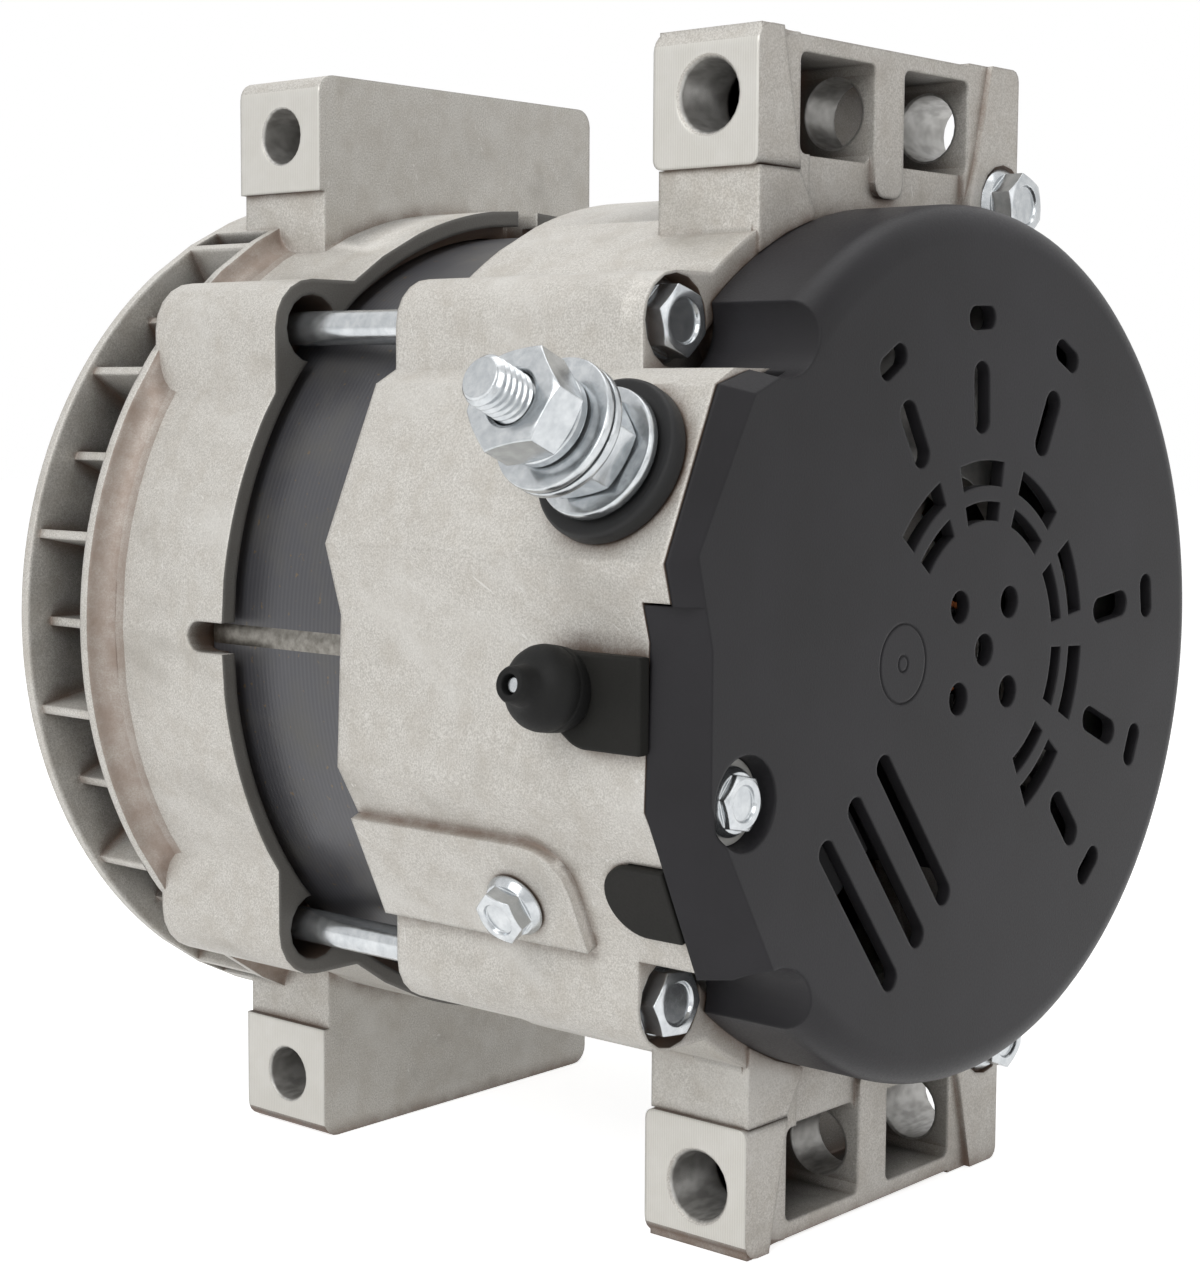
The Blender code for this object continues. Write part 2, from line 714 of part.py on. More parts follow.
def cover_outline(offset):
    """Left part of the cover's plate, moved out by an offset."""
    upper = (COVER_UPPER_ANGLE, COVER_UPPER_DISTANCE + offset)
    left = (180, COVER_LEFT_DISTANCE + offset)
    lower = (COVER_LOWER_ANGLE, COVER_LOWER_DISTANCE + offset)
    corner_x = COVER_BREAK_UPPER
    outline = [(COVER_BOX_ROOT_X, COVER_BOX_TOP + offset)]
    outline.append((COVER_LEFT_X, COVER_BOX_TOP + offset))
    outline.append(corner_of((90, COVER_BOX_TOP_LEFT + offset), upper))
    outline.append(corner_of((90, corner_x), upper))
    outline.append(corner_of((90, COVER_BREAK_MIDDLE), left))
    outline.append(corner_of(left, lower))
    outline.append(corner_of((90, COVER_BOX_BOTTOM - offset), lower))
    outline.append((COVER_BOX_ROOT_X, COVER_BOX_BOTTOM - offset))
    return outline


def lug_bore(depth, side, radius, chamfer):
    """Cutter for the hole through a lug, chamfered at the pad."""
    start = LUG_PAD_X - OVERRUN
    end = REAR_LUG_RIGHT + OVERRUN
    wide = radius + chamfer
    profile = [(0.0, start), (wide, start), (wide, LUG_PAD_X), (radius, LUG_PAD_X + chamfer), (radius, end),
               (0.0, end)]
    placed = facet_frame(0, 0.0) @ Matrix.Translation((depth, side * LUG_HOLE_Z, 0))
    return turned(profile, placed, MEDIUM_SEGMENTS)


def rear_lug(side):
    """A rear lug above (side 1) or below (side -1) the body, before its pockets."""
    neck_left = LUG_PAD_X + LUG_PAD_PROUD
    slab = [(neck_left, LUG_ROOT_HEIGHT), (REAR_LUG_NECK_RIGHT, LUG_ROOT_HEIGHT),
            (REAR_LUG_NECK_RIGHT, REAR_LUG_PAD_BOTTOM), (REAR_LUG_RIGHT, REAR_LUG_PAD_BOTTOM)]
    slab += arc(REAR_LUG_RIGHT - LUG_END_CORNER, LUG_TOP - LUG_END_CORNER, LUG_END_CORNER, 0, 90)
    slab.append((neck_left, LUG_TOP))
    body = prism(mirrored(slab, 1, side), REAR_LUG_REAR, REAR_LUG_FRONT)
    block = [(LUG_PAD_X, REAR_LUG_PAD_BOTTOM), (LUG_PAD_X + REAR_LUG_PAD_WIDTH, REAR_LUG_PAD_BOTTOM),
             (LUG_PAD_X + REAR_LUG_PAD_WIDTH, LUG_TOP)]
    block += arc(LUG_PAD_X + LUG_CORNER, LUG_TOP - LUG_CORNER, LUG_CORNER, 90, 180, 5)
    pad = prism(mirrored(block, 1, side), REAR_LUG_REAR - FIT_GAP, REAR_LUG_FRONT + LUG_PAD_PROUD / 2)
    return union(body, pad, neck_gusset(side))


def neck_gusset(side):
    """Concave web between a rear lug's neck and the top of the bolt boss beside it."""
    neck_left = LUG_PAD_X + LUG_PAD_PROUD
    foot = BOLT_Z + REAR_LOBE_RADIUS - NECK_GUSSET_LAP
    radius = NECK_GUSSET_RADIUS
    outline = [(neck_left + NECK_GUSSET_LAP, foot - NECK_GUSSET_LAP),
               (neck_left + NECK_GUSSET_LAP, foot + radius)]
    outline += arc(neck_left - radius, foot + radius, radius, 0, -90, 5)
    outline.append((neck_left - radius, foot - NECK_GUSSET_LAP))
    rear = REAR_RIM + NECK_GUSSET_LAP
    return prism(mirrored(outline, 1, side), rear, rear + NECK_GUSSET_DEPTH)


def rear_lug_cuts(side):
    """Recess, pockets and hole of a rear lug."""
    high = LUG_TOP + OVERRUN
    recess = [(RECESS_TOP_LEFT, high), (RECESS_TOP_LEFT, LUG_TOP), (RECESS_MIDDLE_LEFT, REAR_LUG_PAD_BOTTOM),
              (RECESS_FOOT_LEFT, RECESS_LEFT_BREAK), (RECESS_FOOT_LEFT, LUG_ROOT_HEIGHT),
              (RECESS_FOOT_RIGHT, LUG_ROOT_HEIGHT), (RECESS_FOOT_RIGHT, RECESS_RIGHT_BREAK),
              (RECESS_MIDDLE_RIGHT, RECESS_RIGHT_MIDDLE), (RECESS_TOP_RIGHT, LUG_TOP), (RECESS_TOP_RIGHT, high)]
    tools = [prism(mirrored(recess, 1, side), -OVERRUN, REAR_LUG_REAR + REAR_LUG_RECESS)]
    sill = POCKET_BOTTOM + POCKET_CORNER
    foot = [(RECESS_FOOT_LEFT, LUG_ROOT_HEIGHT), (RECESS_FOOT_RIGHT, LUG_ROOT_HEIGHT), (RECESS_FOOT_RIGHT, sill),
            (POCKET_WEB_RIGHT, sill)]
    foot += arc(POCKET_WEB_RIGHT - WEB_FOOT_CORNER, WEB_FOOT + WEB_FOOT_CORNER, WEB_FOOT_CORNER, 0, -90)
    foot += arc(POCKET_WEB_LEFT + WEB_FOOT_CORNER, WEB_FOOT + WEB_FOOT_CORNER, WEB_FOOT_CORNER, -90, -180)
    foot += [(POCKET_WEB_LEFT, sill), (RECESS_FOOT_LEFT, sill)]
    tools.append(prism(mirrored(foot, 1, side), -OVERRUN, REAR_LUG_REAR + 2 * REAR_LUG_RECESS))
    back = REAR_LUG_FRONT - POCKET_BACK_WALL
    for left, right in ((POCKET_LEFT, POCKET_WEB_LEFT), (POCKET_WEB_RIGHT, POCKET_RIGHT)):
        outline = rounded_box(left, right, POCKET_BOTTOM, POCKET_TOP, POCKET_CORNER)
        tools.append(prism(mirrored(outline, 1, side), -OVERRUN, back))
    level = LUG_TOP - LUG_PAD_PROUD / 2
    hollow = [(LUG_PAD_X + REAR_LUG_PAD_WIDTH, level), (POCKET_RIGHT, level), (POCKET_RIGHT + LUG_PAD_PROUD, high),
              (LUG_PAD_X + REAR_LUG_PAD_WIDTH, high)]
    tools.append(prism(mirrored(hollow, 1, side), -OVERRUN, REAR_LUG_FRONT + OVERRUN))
    tools.append(lug_bore(REAR_LUG_HOLE, side, LUG_HOLE_RADIUS, LUG_HOLE_CHAMFER))
    return tools


def build_rear_housing(material):
    """Slip-ring-end housing: body, facets, box wall, bolt bosses, lugs and bearing hub."""
    body = drum(HOUSING_RADIUS, REAR_RIM, REAR_HOUSING_FRONT, LARGE_SEGMENTS)
    union(body, *lobes(REAR_LOBE_RADIUS, REAR_RIM, REAR_HOUSING_FRONT))
    union(body, *[rear_lug(side) for side in (1, -1)])
    bosses = [drum(LUG_BOLT_BOSS_RADIUS, REAR_LUG_REAR, LUG_BOLT_BOSS_FRONT, SMALL_SEGMENTS,
                   LUG_BOLT_X, side * LUG_BOLT_HEIGHT) for side in (1, -1)]
    union(body, *bosses)
    cut(body, drum(DOME_RADIUS + FIT_GAP, -OVERRUN, REAR_RIM, LARGE_SEGMENTS))
    inset = HOUSING_WALL / 2
    flank = [(COVER_BOX_ROOT_X - inset, FACET_TOP - inset), (COVER_BOX_ROOT_X - inset, FACET_BOTTOM + inset),
             (-HOUSING_RADIUS - OVERRUN, FACET_BOTTOM + inset), (-HOUSING_RADIUS - OVERRUN, FACET_TOP - inset)]
    cut(body, prism(flank, REAR_RIM - OVERRUN, REAR_HOUSING_FRONT + OVERRUN))
    union(body, prism(facet_outline(), UPPER_LIP_REAR, REAR_HOUSING_FRONT))
    pad_frame = facet_frame(LOWER_FACET_ANGLE, LOWER_FACET_DISTANCE)
    pad_end = RAISED_PAD_LOWER_EDGE
    raised = [(REAR_HOUSING_FRONT, RAISED_PAD_UPPER_EDGE), (REAR_HOUSING_FRONT, pad_end),
              (RAISED_PAD_REAR, pad_end)]
    raised += arc(RAISED_PAD_REAR + RAISED_PAD_CORNER, RAISED_PAD_UPPER_EDGE + RAISED_PAD_CORNER,
                  RAISED_PAD_CORNER, 180, 270, 4)
    union(body, extruded(raised, pad_frame, -HOUSING_WALL, RAISED_PAD_STAND))

    # The lower part of the box wall stops short of the upper part
    step = [(-DOME_RADIUS - OVERRUN, LIP_STEP_HEIGHT), (-DOME_RADIUS - OVERRUN, -HOUSING_RADIUS),
            (0.0, -HOUSING_RADIUS), (0.0, LIP_STEP_HEIGHT)]
    cut(body, prism(step, -OVERRUN, LOWER_LIP_REAR))
    rebate = prism(cover_outline(REBATE_CLEARANCE), -OVERRUN, REBATE_FLOOR)
    box = prism(cover_outline(FIT_GAP - COVER_WALL), -OVERRUN, DECK_REAR)
    well = drum(UNDER_COVER_RADIUS, -OVERRUN, DECK_REAR, LARGE_SEGMENTS)
    cut(body, rebate, box, well)

    seat = SEAT_RADIUS
    shoulder = STATOR_REAR - FIT_GAP
    inner = SEAT_RADIUS - REAR_CAVITY_SHOULDER
    bearing = REAR_BEARING_RADIUS + FIT_GAP
    hub = bearing + REAR_HUB_WALL
    hub_front = DECK_FRONT + REAR_HUB_LENGTH
    bearing_floor = REAR_BEARING_REAR - FIT_GAP
    cavity = [(0.0, REAR_HOUSING_FRONT + OVERRUN), (seat, REAR_HOUSING_FRONT + OVERRUN), (seat, shoulder),
              (inner, shoulder), (inner, DECK_FRONT), (hub, DECK_FRONT), (hub, hub_front), (0.0, hub_front)]
    cut(body, lathe(cavity))
    seat_bore = [(0.0, hub_front + OVERRUN), (bearing, hub_front + OVERRUN), (bearing, bearing_floor),
                 (REAR_SHAFT_HOLE_RADIUS, bearing_floor), (REAR_SHAFT_HOLE_RADIUS, DECK_REAR - OVERRUN),
                 (0.0, DECK_REAR - OVERRUN)]
    cut(body, lathe(seat_bore, MEDIUM_SEGMENTS))

    posts = [drum(SINK_PILLAR_RADIUS, NEGATIVE_SINK_REAR + SINK_THICKNESS + FIT_GAP, DECK_FRONT,
                  SMALL_SEGMENTS, *polar(SINK_PILLAR_CIRCLE, angle)) for angle in SINK_LEG_ANGLES]
    posts.append(drum(SCREW_POST_RADIUS, SCREW_POST_REAR, DECK_FRONT, SMALL_SEGMENTS, SCREW_X, SCREW_Z))
    union(body, *posts)

    windows = []
    for index in range(DECK_WINDOW_COUNT):
        middle = 360 / DECK_WINDOW_COUNT * (index + 0.5)
        outline = sector(DECK_WINDOW_INNER, DECK_WINDOW_OUTER, middle - DECK_WINDOW_ANGLE / 2,
                         middle + DECK_WINDOW_ANGLE / 2)
        windows.append(prism(outline, DECK_REAR - BOLT_FLANGE_RADIUS, DECK_FRONT + BOLT_FLANGE_RADIUS))
    cut(body, join(windows))

    holes = []
    for _, side_x, side_z in QUADRANTS:
        x, z = side_x * BOLT_X, side_z * BOLT_Z
        holes.append(drum(SPOT_FACE_RADIUS, -OVERRUN, BOLT_SEAT, SMALL_SEGMENTS, x, z))
    cut(body, join(holes))
    rods = []
    for _, side_x, side_z in QUADRANTS:
        x, z = side_x * BOLT_X, side_z * BOLT_Z
        rods.append(drum(BOLT_ROD_RADIUS + BOLT_HOLE_CLEARANCE, BOLT_SEAT - OVERRUN,
                         REAR_HOUSING_FRONT + OVERRUN, SMALL_SEGMENTS, x, z))
    for side in (1, -1):
        rods.append(drum(BOLT_ROD_RADIUS + FIT_GAP, LUG_BOLT_SEAT - OVERRUN,
                         LUG_BOLT_SEAT + LUG_BOLT_LENGTH + FIT_GAP, SMALL_SEGMENTS,
                         LUG_BOLT_X, side * LUG_BOLT_HEIGHT))
    rods.append(drum(SMALL_BOLT_ROD_RADIUS + FIT_GAP, SCREW_POST_REAR - OVERRUN,
                     SCREW_POST_REAR + SIDE_BOLT_HOLE, SMALL_SEGMENTS, SCREW_X, SCREW_Z))
    cut(body, join(rods))
    faces = [drum(SPOT_FACE_RADIUS, -OVERRUN, LUG_BOLT_SEAT, SMALL_SEGMENTS, LUG_BOLT_X,
                  side * LUG_BOLT_HEIGHT) for side in (1, -1)]
    cut(body, *faces)
    for side in (1, -1):
        cut(body, *rear_lug_cuts(side))

    stud_frame = facet_frame(STUD_ANGLE, 0.0) @ Matrix.Translation((STUD_DEPTH, 0, 0))
    cut(body, pin(stud_frame, INSULATOR_SLEEVE_RADIUS + FIT_GAP, STUD_FOOT_RADIUS, STUD_TIP))
    cut(body, pin(relay_frame(), RELAY_SLEEVE_RADIUS + FIT_GAP, -RELAY_SLEEVE_LENGTH - OVERRUN, OVERRUN))
    cut(body, plug_solid(FIT_GAP, OVERRUN))
    cut(body, pin(side_bolt_frame(), SMALL_BOLT_ROD_RADIUS + FIT_GAP, -SIDE_BOLT_HOLE, OVERRUN))
    return named("slip_ring_end_housing", body, material)


def relay_frame():
    """Frame at the foot of the relay terminal's boot, its outward axis tilted up."""
    frame = facet_frame(RELAY_AXIS_ANGLE, 0.0)
    frame.translation = Vector((RELAY_X, station(RELAY_DEPTH), RELAY_Z))
    return frame


def side_bolt_frame():
    """Frame at the seat of the side bolt on the raised pad."""
    pad = facet_frame(LOWER_FACET_ANGLE, LOWER_FACET_DISTANCE + RAISED_PAD_STAND)
    return pad @ Matrix.Translation((SIDE_BOLT_DEPTH, SIDE_BOLT_OFFSET, 0))


def plug_solid(gap, extra):
    """Half-moon plug, or its pocket when a gap and an extra height are given."""
    half = (PLUG_LOWER - PLUG_UPPER) / 2 + gap
    middle = (PLUG_LOWER + PLUG_UPPER) / 2
    outline = [(PLUG_REAR - gap, middle + half), (PLUG_REAR - gap, middle - half)]
    outline += arc(PLUG_FRONT + gap - half, middle, half, -90, 90)
    frame = facet_frame(LOWER_FACET_ANGLE, LOWER_FACET_DISTANCE)
    return extruded(outline, frame, PLUG_PROUD - PLUG_THICKNESS - gap, PLUG_PROUD + extra)


def front_lug(side):
    """A drive-end lug above (side 1) or below (side -1) the body, before its pockets."""
    neck_left = LUG_PAD_X + FRONT_LUG_NECK_INSET
    outline = [(neck_left, LUG_ROOT_HEIGHT), (FRONT_LUG_NECK_RIGHT, LUG_ROOT_HEIGHT),
               (FRONT_LUG_NECK_RIGHT, FRONT_LUG_PAD_BOTTOM), (FRONT_LUG_RIGHT, FRONT_LUG_PAD_BOTTOM)]
    outline += arc(FRONT_LUG_RIGHT - LUG_CORNER, LUG_TOP - LUG_CORNER, LUG_CORNER, 0, 90, 5)
    outline += arc(LUG_PAD_X + LUG_CORNER, LUG_TOP - LUG_CORNER, LUG_CORNER, 90, 180, 5)
    outline += [(LUG_PAD_X, FRONT_LUG_PAD_BOTTOM), (neck_left, FRONT_LUG_PAD_BOTTOM)]
    return prism(mirrored(outline, 1, side), FRONT_LUG_REAR, FRONT_LUG_FRONT)


def front_lug_cuts(side):
    """Pockets in the drive side of a front lug, and its hole."""
    tools = []
    for left, right in ((FRONT_POCKET_LEFT, FRONT_WEB_LEFT), (FRONT_WEB_RIGHT, FRONT_POCKET_RIGHT)):
        outline = rounded_box(left, right, POCKET_BOTTOM, POCKET_TOP, POCKET_CORNER)
        tools.append(prism(mirrored(outline, 1, side), FRONT_LUG_REAR + FRONT_LUG_BACK_WALL,
                           FRONT_LUG_FRONT + OVERRUN))
    tools.append(lug_bore(FRONT_LUG_HOLE, side, FRONT_LUG_HOLE_RADIUS, FRONT_LUG_HOLE_CHAMFER))
    return tools


def build_front_housing(material):
    """Drive-end housing: skirt, bolt bosses, vaned vent ring, front plate, hub and lugs."""
    fillet = []
    for step in range(RIDGE_STEPS + 1):
        turn = math.radians(90 * step / RIDGE_STEPS)
        radius = HOUSING_RADIUS + (RIDGE_RADIUS - HOUSING_RADIUS) * (1 - math.cos(turn))
        fillet.append((radius, RIDGE_REAR - RIDGE_FILLET + RIDGE_FILLET * math.sin(turn)))
    profile = [(0.0, FRONT_RIM), (HOUSING_RADIUS, FRONT_RIM)] + fillet
    profile += [(RIDGE_RADIUS, FRONT_PLATE_FACE - FRONT_HUB_EDGE / 2),
                (RIDGE_RADIUS - FRONT_HUB_EDGE / 2, FRONT_PLATE_FACE),
                (FRONT_HUB_RADIUS, FRONT_PLATE_FACE),
                (FRONT_HUB_RADIUS, FRONT_HUB_FACE - FRONT_HUB_EDGE),
                (FRONT_HUB_RADIUS - FRONT_HUB_EDGE, FRONT_HUB_FACE), (0.0, FRONT_HUB_FACE)]
    body = lathe(profile)
    union(body, *lobes(FRONT_LOBE_RADIUS, FRONT_RIM, VENT_REAR - RIB_ROOT))
    union(body, *[front_lug(side) for side in (1, -1)])

    seat_front = STATOR_FRONT + FIT_GAP
    inner = SEAT_RADIUS - FRONT_CAVITY_SHOULDER
    bore = FRONT_BEARING_RADIUS + FIT_GAP
    bore_front = FRONT_BEARING_REAR + FRONT_BEARING_WIDTH + FIT_GAP
    cavity = [(0.0, FRONT_RIM - OVERRUN), (FRONT_RIM_INNER_RADIUS, FRONT_RIM - OVERRUN),
              (FRONT_RIM_INNER_RADIUS, FRONT_RIM + FRONT_RIM_LIP), (SEAT_RADIUS, FRONT_RIM + FRONT_RIM_LIP),
              (SEAT_RADIUS, seat_front), (inner, seat_front), (inner, VENT_REAR),
              (VENT_INNER_RADIUS, VENT_REAR), (VENT_INNER_RADIUS, VENT_FRONT),
              (FRONT_HUB_RADIUS, VENT_FRONT), (FRONT_HUB_RADIUS, FRONT_HUB_REAR), (0.0, FRONT_HUB_REAR)]
    cut(body, lathe(cavity))
    seat_bore = [(0.0, FRONT_HUB_REAR - OVERRUN), (bore, FRONT_HUB_REAR - OVERRUN), (bore, bore_front),
                 (FRONT_SHAFT_HOLE_RADIUS, bore_front), (FRONT_SHAFT_HOLE_RADIUS, FRONT_HUB_FACE + OVERRUN),
                 (0.0, FRONT_HUB_FACE + OVERRUN)]
    cut(body, lathe(seat_bore, MEDIUM_SEGMENTS))

    half_span = RIB_ANGLE * RIB_WINDOWS_PER_HALF
    vents = []
    ribs = []
    for side in (0, 180):
        outline = sector(VENT_INNER_RADIUS - RIB_THICKNESS, RIDGE_RADIUS + OVERRUN, side - half_span,
                         side + half_span, 2 * RIB_WINDOWS_PER_HALF)
        vents.append(prism(outline, VENT_REAR, VENT_FRONT))
        for index in range(1 - RIB_WINDOWS_PER_HALF, RIB_WINDOWS_PER_HALF):
            back = RIB_SET_BACK if index % 2 else SHORT_RIB_SET_BACK
            outline = [(VENT_REAR - RIB_ROOT, -RIB_THICKNESS / 2), (VENT_FRONT + RIB_ROOT, -RIB_THICKNESS / 2),
                       (VENT_FRONT + RIB_ROOT, RIB_THICKNESS / 2), (VENT_REAR - RIB_ROOT, RIB_THICKNESS / 2)]
            ribs.append(extruded(outline, facet_frame(side + RIB_ANGLE * index, 0.0), VENT_INNER_RADIUS,
                                 RIDGE_RADIUS - back))
    cut(body, join(vents))
    union(body, join(ribs))

    inlets = []
    for index in range(INLET_COUNT):
        middle = 360 / INLET_COUNT * index
        outline = sector(INLET_INNER_RADIUS, INLET_OUTER_RADIUS, middle - INLET_ANGLE / 2,
                         middle + INLET_ANGLE / 2)
        inlets.append(prism(outline, VENT_FRONT - FRONT_HUB_EDGE, FRONT_PLATE_FACE + OVERRUN))
    cut(body, join(inlets))

    notches = []
    for angle in (0, 90, 180, 270):
        outline = [(FRONT_RIM - OVERRUN, -NOTCH_WIDTH / 2)]
        outline += arc(FRONT_RIM + NOTCH_DEPTH - NOTCH_WIDTH / 2, 0.0, NOTCH_WIDTH / 2, -90, 90, 6)
        outline.append((FRONT_RIM - OVERRUN, NOTCH_WIDTH / 2))
        notches.append(extruded(outline, facet_frame(angle, 0.0), SEAT_RADIUS - OVERRUN,
                                HOUSING_RADIUS + OVERRUN))
    cut(body, join(notches))

    pockets = []
    threads = []
    for _, side_x, side_z in QUADRANTS:
        x, z = side_x * BOLT_X, side_z * BOLT_Z
        pockets.append(drum(POCKET_HOLE_RADIUS, FRONT_RIM - OVERRUN, POCKET_HOLE_FRONT, SMALL_SEGMENTS, x, z))
        threads.append(drum(BOLT_ROD_RADIUS + FIT_GAP, FRONT_RIM - OVERRUN, BOLT_THREAD_FRONT,
                            SMALL_SEGMENTS, x, z))
    cut(body, join(pockets))
    cut(body, join(threads))
    for side in (1, -1):
        cut(body, *front_lug_cuts(side))
    screws = [drum(RETAINER_SCREW_RADIUS + FIT_GAP, FRONT_HUB_REAR - OVERRUN / 4,
                   FRONT_HUB_REAR + RETAINER_SCREW_LENGTH, 12, *polar(RETAINER_SCREW_CIRCLE, angle))
              for angle in RETAINER_SCREW_ANGLES]
    cut(body, join(screws))
    return named("drive_end_housing", body, material)


def build_cover(material):
    """Plastic rear cover: dome, box over the left facets, slots and screw recess."""
    shell = cover_form(0.0, 0.0)
    hollow = cover_form(COVER_WALL, OVERRUN)
    cut(shell, hollow)
    cup = drum(SCREW_RECESS_RADIUS + COVER_WALL, COVER_WALL / 2, SCREW_RECESS_DEPTH + COVER_WALL,
               SMALL_SEGMENTS, SCREW_X, SCREW_Z)
    common(cup, prism(cover_outline(-FIT_GAP), -OVERRUN, OVERRUN))
    union(shell, cup)
    cut(shell, drum(SCREW_RECESS_RADIUS, -OVERRUN, SCREW_RECESS_DEPTH, SMALL_SEGMENTS, SCREW_X, SCREW_Z))
    cut(shell, drum(SMALL_BOLT_ROD_RADIUS + FIT_GAP, -OVERRUN, OVERRUN, SMALL_SEGMENTS, SCREW_X, SCREW_Z))

    scallops = []
    for _, side_x, side_z in QUADRANTS:
        near = -OVERRUN if side_x < 0 else SCALLOP_REAR
        scallops.append(drum(SCALLOP_RADIUS, near, DOME_FRONT + OVERRUN, SMALL_SEGMENTS,
                             side_x * BOLT_X, side_z * BOLT_Z))
    cut(shell, join(scallops))

    near, far = -COVER_WALL, 2 * COVER_WALL
    vents = [drum(CENTRE_HOLE_RADIUS, near, far, 16)]
    for side_x in (-1, 1):
        for side_z in (-1, 1):
            vents.append(drum(CENTRE_HOLE_RADIUS, near, far, 16, side_x * CENTRE_HOLE_OFFSET,
                              side_z * CENTRE_HOLE_OFFSET))
    for angle in ARC_SLOT_ANGLES:
        for radius, width in ((ARC_SLOT_OUTER, ARC_SLOT_OUTER_WIDTH), (ARC_SLOT_INNER, ARC_SLOT_INNER_WIDTH)):
            outline = sector(radius - width / 2, radius + width / 2, angle - ARC_SLOT_SPAN / 2,
                             angle + ARC_SLOT_SPAN / 2)
            vents.append(prism(outline, near, far))
    for angle in RADIAL_SLOT_ANGLES:
        x, z = polar((RADIAL_SLOT_INNER + RADIAL_SLOT_OUTER) / 2, angle)
        length = RADIAL_SLOT_OUTER - RADIAL_SLOT_INNER
        vents.append(prism(slot(x, z, length, RADIAL_SLOT_WIDTH, angle, 4), near, far))
    for angle in END_SLOT_ANGLES:
        x, z = polar(END_SLOT_RADIUS, angle)
        vents.append(prism(slot(x, z, END_SLOT_LENGTH, END_SLOT_WIDTH, angle + 90, 4), near, far))
    for index in (-1, 0, 1):
        shift_x, shift_z = polar(LONG_SLOT_PITCH * index, LONG_SLOT_ANGLE + 90)
        vents.append(prism(slot(LONG_SLOT_X + shift_x, LONG_SLOT_Z + shift_z, LONG_SLOT_LENGTH,
                                LONG_SLOT_WIDTH, LONG_SLOT_ANGLE, 4), near, far))
    cut(shell, join(vents))
    return named("rear_cover", shell, material)


def cover_form(inset, overrun):
    """Dome joined with the left box, moved in by an inset and run on at the front."""
    radius = DOME_RADIUS - inset
    curve = COVER_RIM_ROUND - inset
    profile = [(0.0, inset)]
    for step in range(CORNER_STEPS + 1):
        turn = math.radians(90 * step / CORNER_STEPS)
        profile.append((radius - curve + curve * math.sin(turn), inset + curve - curve * math.cos(turn)))
    profile += [(radius, DOME_FRONT + overrun), (0.0, DOME_FRONT + overrun)]
    dome = lathe(profile)
    edge = COVER_LEFT_X + inset
    top = COVER_BOX_TOP - COVER_BOX_LAP + inset
    bottom = COVER_BOX_BOTTOM + COVER_BOX_LAP - inset
    side = [(edge, top), (edge, bottom), (-DOME_RADIUS - OVERRUN, bottom), (-DOME_RADIUS - OVERRUN, top)]
    cut(dome, prism(side, -OVERRUN, DOME_FRONT + 2 * OVERRUN))
    return union(dome, prism(cover_outline(-inset), inset, COVER_BOX_DEPTH + overrun))


def flanged_bolt(matrix, rod_radius, rod_length, flange_radius, flange, across, height, turn=0.0):
    """Flanged hex bolt with its seat at local zero and its head outward."""
    gap = FIT_GAP
    top = gap + height
    rim = across / 2 / math.cos(math.radians(30))
    dish = BOLT_HEAD_DISH
    profile = [(0.0, -rod_length), (rod_radius, -rod_length), (rod_radius, gap), (flange_radius, gap),
               (flange_radius, gap + flange / 2), (rim, gap + flange), (0.0, gap + flange)]
    bolt = turned(profile, matrix, SMALL_SEGMENTS)
    head = extruded(hexagon(across, turn), matrix, gap + flange / 2, top)
    bowl = turned([(0.0, top - dish), (rim - 2 * dish, top - dish), (rim - 2 * dish, top + dish),
                   (0.0, top + dish)], matrix, 12)
    return cut(union(bolt, head), bowl)


def nut(matrix, across, low, high, bore, turn=0.0):
    """Hex nut, its hole clear of the thread."""
    solid = extruded(hexagon(across, turn), matrix, low, high)
    return cut(solid, pin(matrix, bore, low - across, high + across))


def rearward_frame(x, z, depth):
    """Frame at a seat facing rearward, its outward axis toward the rear."""
    return shaft_frame(x, z) @ Matrix.Translation((0, 0, -depth))


def build_fasteners(zinc):
    """Through bolts, lug bolts, side bolt and cover screw."""
    for place, side_x, side_z in QUADRANTS:
        frame = rearward_frame(side_x * BOLT_X, side_z * BOLT_Z, BOLT_SEAT)
        bolt = flanged_bolt(frame, BOLT_ROD_RADIUS, BOLT_TIP - BOLT_SEAT, BOLT_FLANGE_RADIUS,
                            BOLT_FLANGE_THICKNESS, BOLT_HEX, BOLT_HEAD_HEIGHT)
        named("through_bolt_" + place, bolt, zinc)
    for place, side in (("upper", 1), ("lower", -1)):
        frame = rearward_frame(LUG_BOLT_X, side * LUG_BOLT_HEIGHT, LUG_BOLT_SEAT)
        bolt = flanged_bolt(frame, BOLT_ROD_RADIUS, LUG_BOLT_LENGTH, BOLT_FLANGE_RADIUS,
                            BOLT_FLANGE_THICKNESS, BOLT_HEX, BOLT_HEAD_HEIGHT)
        named("lug_bolt_" + place, bolt, zinc)
    small = SMALL_BOLT_SHARE
    bolt = flanged_bolt(side_bolt_frame(), SMALL_BOLT_ROD_RADIUS, SIDE_BOLT_HOLE - FIT_GAP,
                        BOLT_FLANGE_RADIUS * small, BOLT_FLANGE_THICKNESS, BOLT_HEX * small,
                        BOLT_HEAD_HEIGHT * small)
    named("side_bolt", bolt, zinc)
    frame = rearward_frame(SCREW_X, SCREW_Z, SCREW_SEAT)
    screw = flanged_bolt(frame, SMALL_BOLT_ROD_RADIUS, SIDE_BOLT_HOLE + COVER_WALL,
                         BOLT_FLANGE_RADIUS * small, BOLT_FLANGE_THICKNESS, BOLT_HEX * small,
                         SCREW_HEAD_HEIGHT)
    named("cover_screw", screw, zinc)


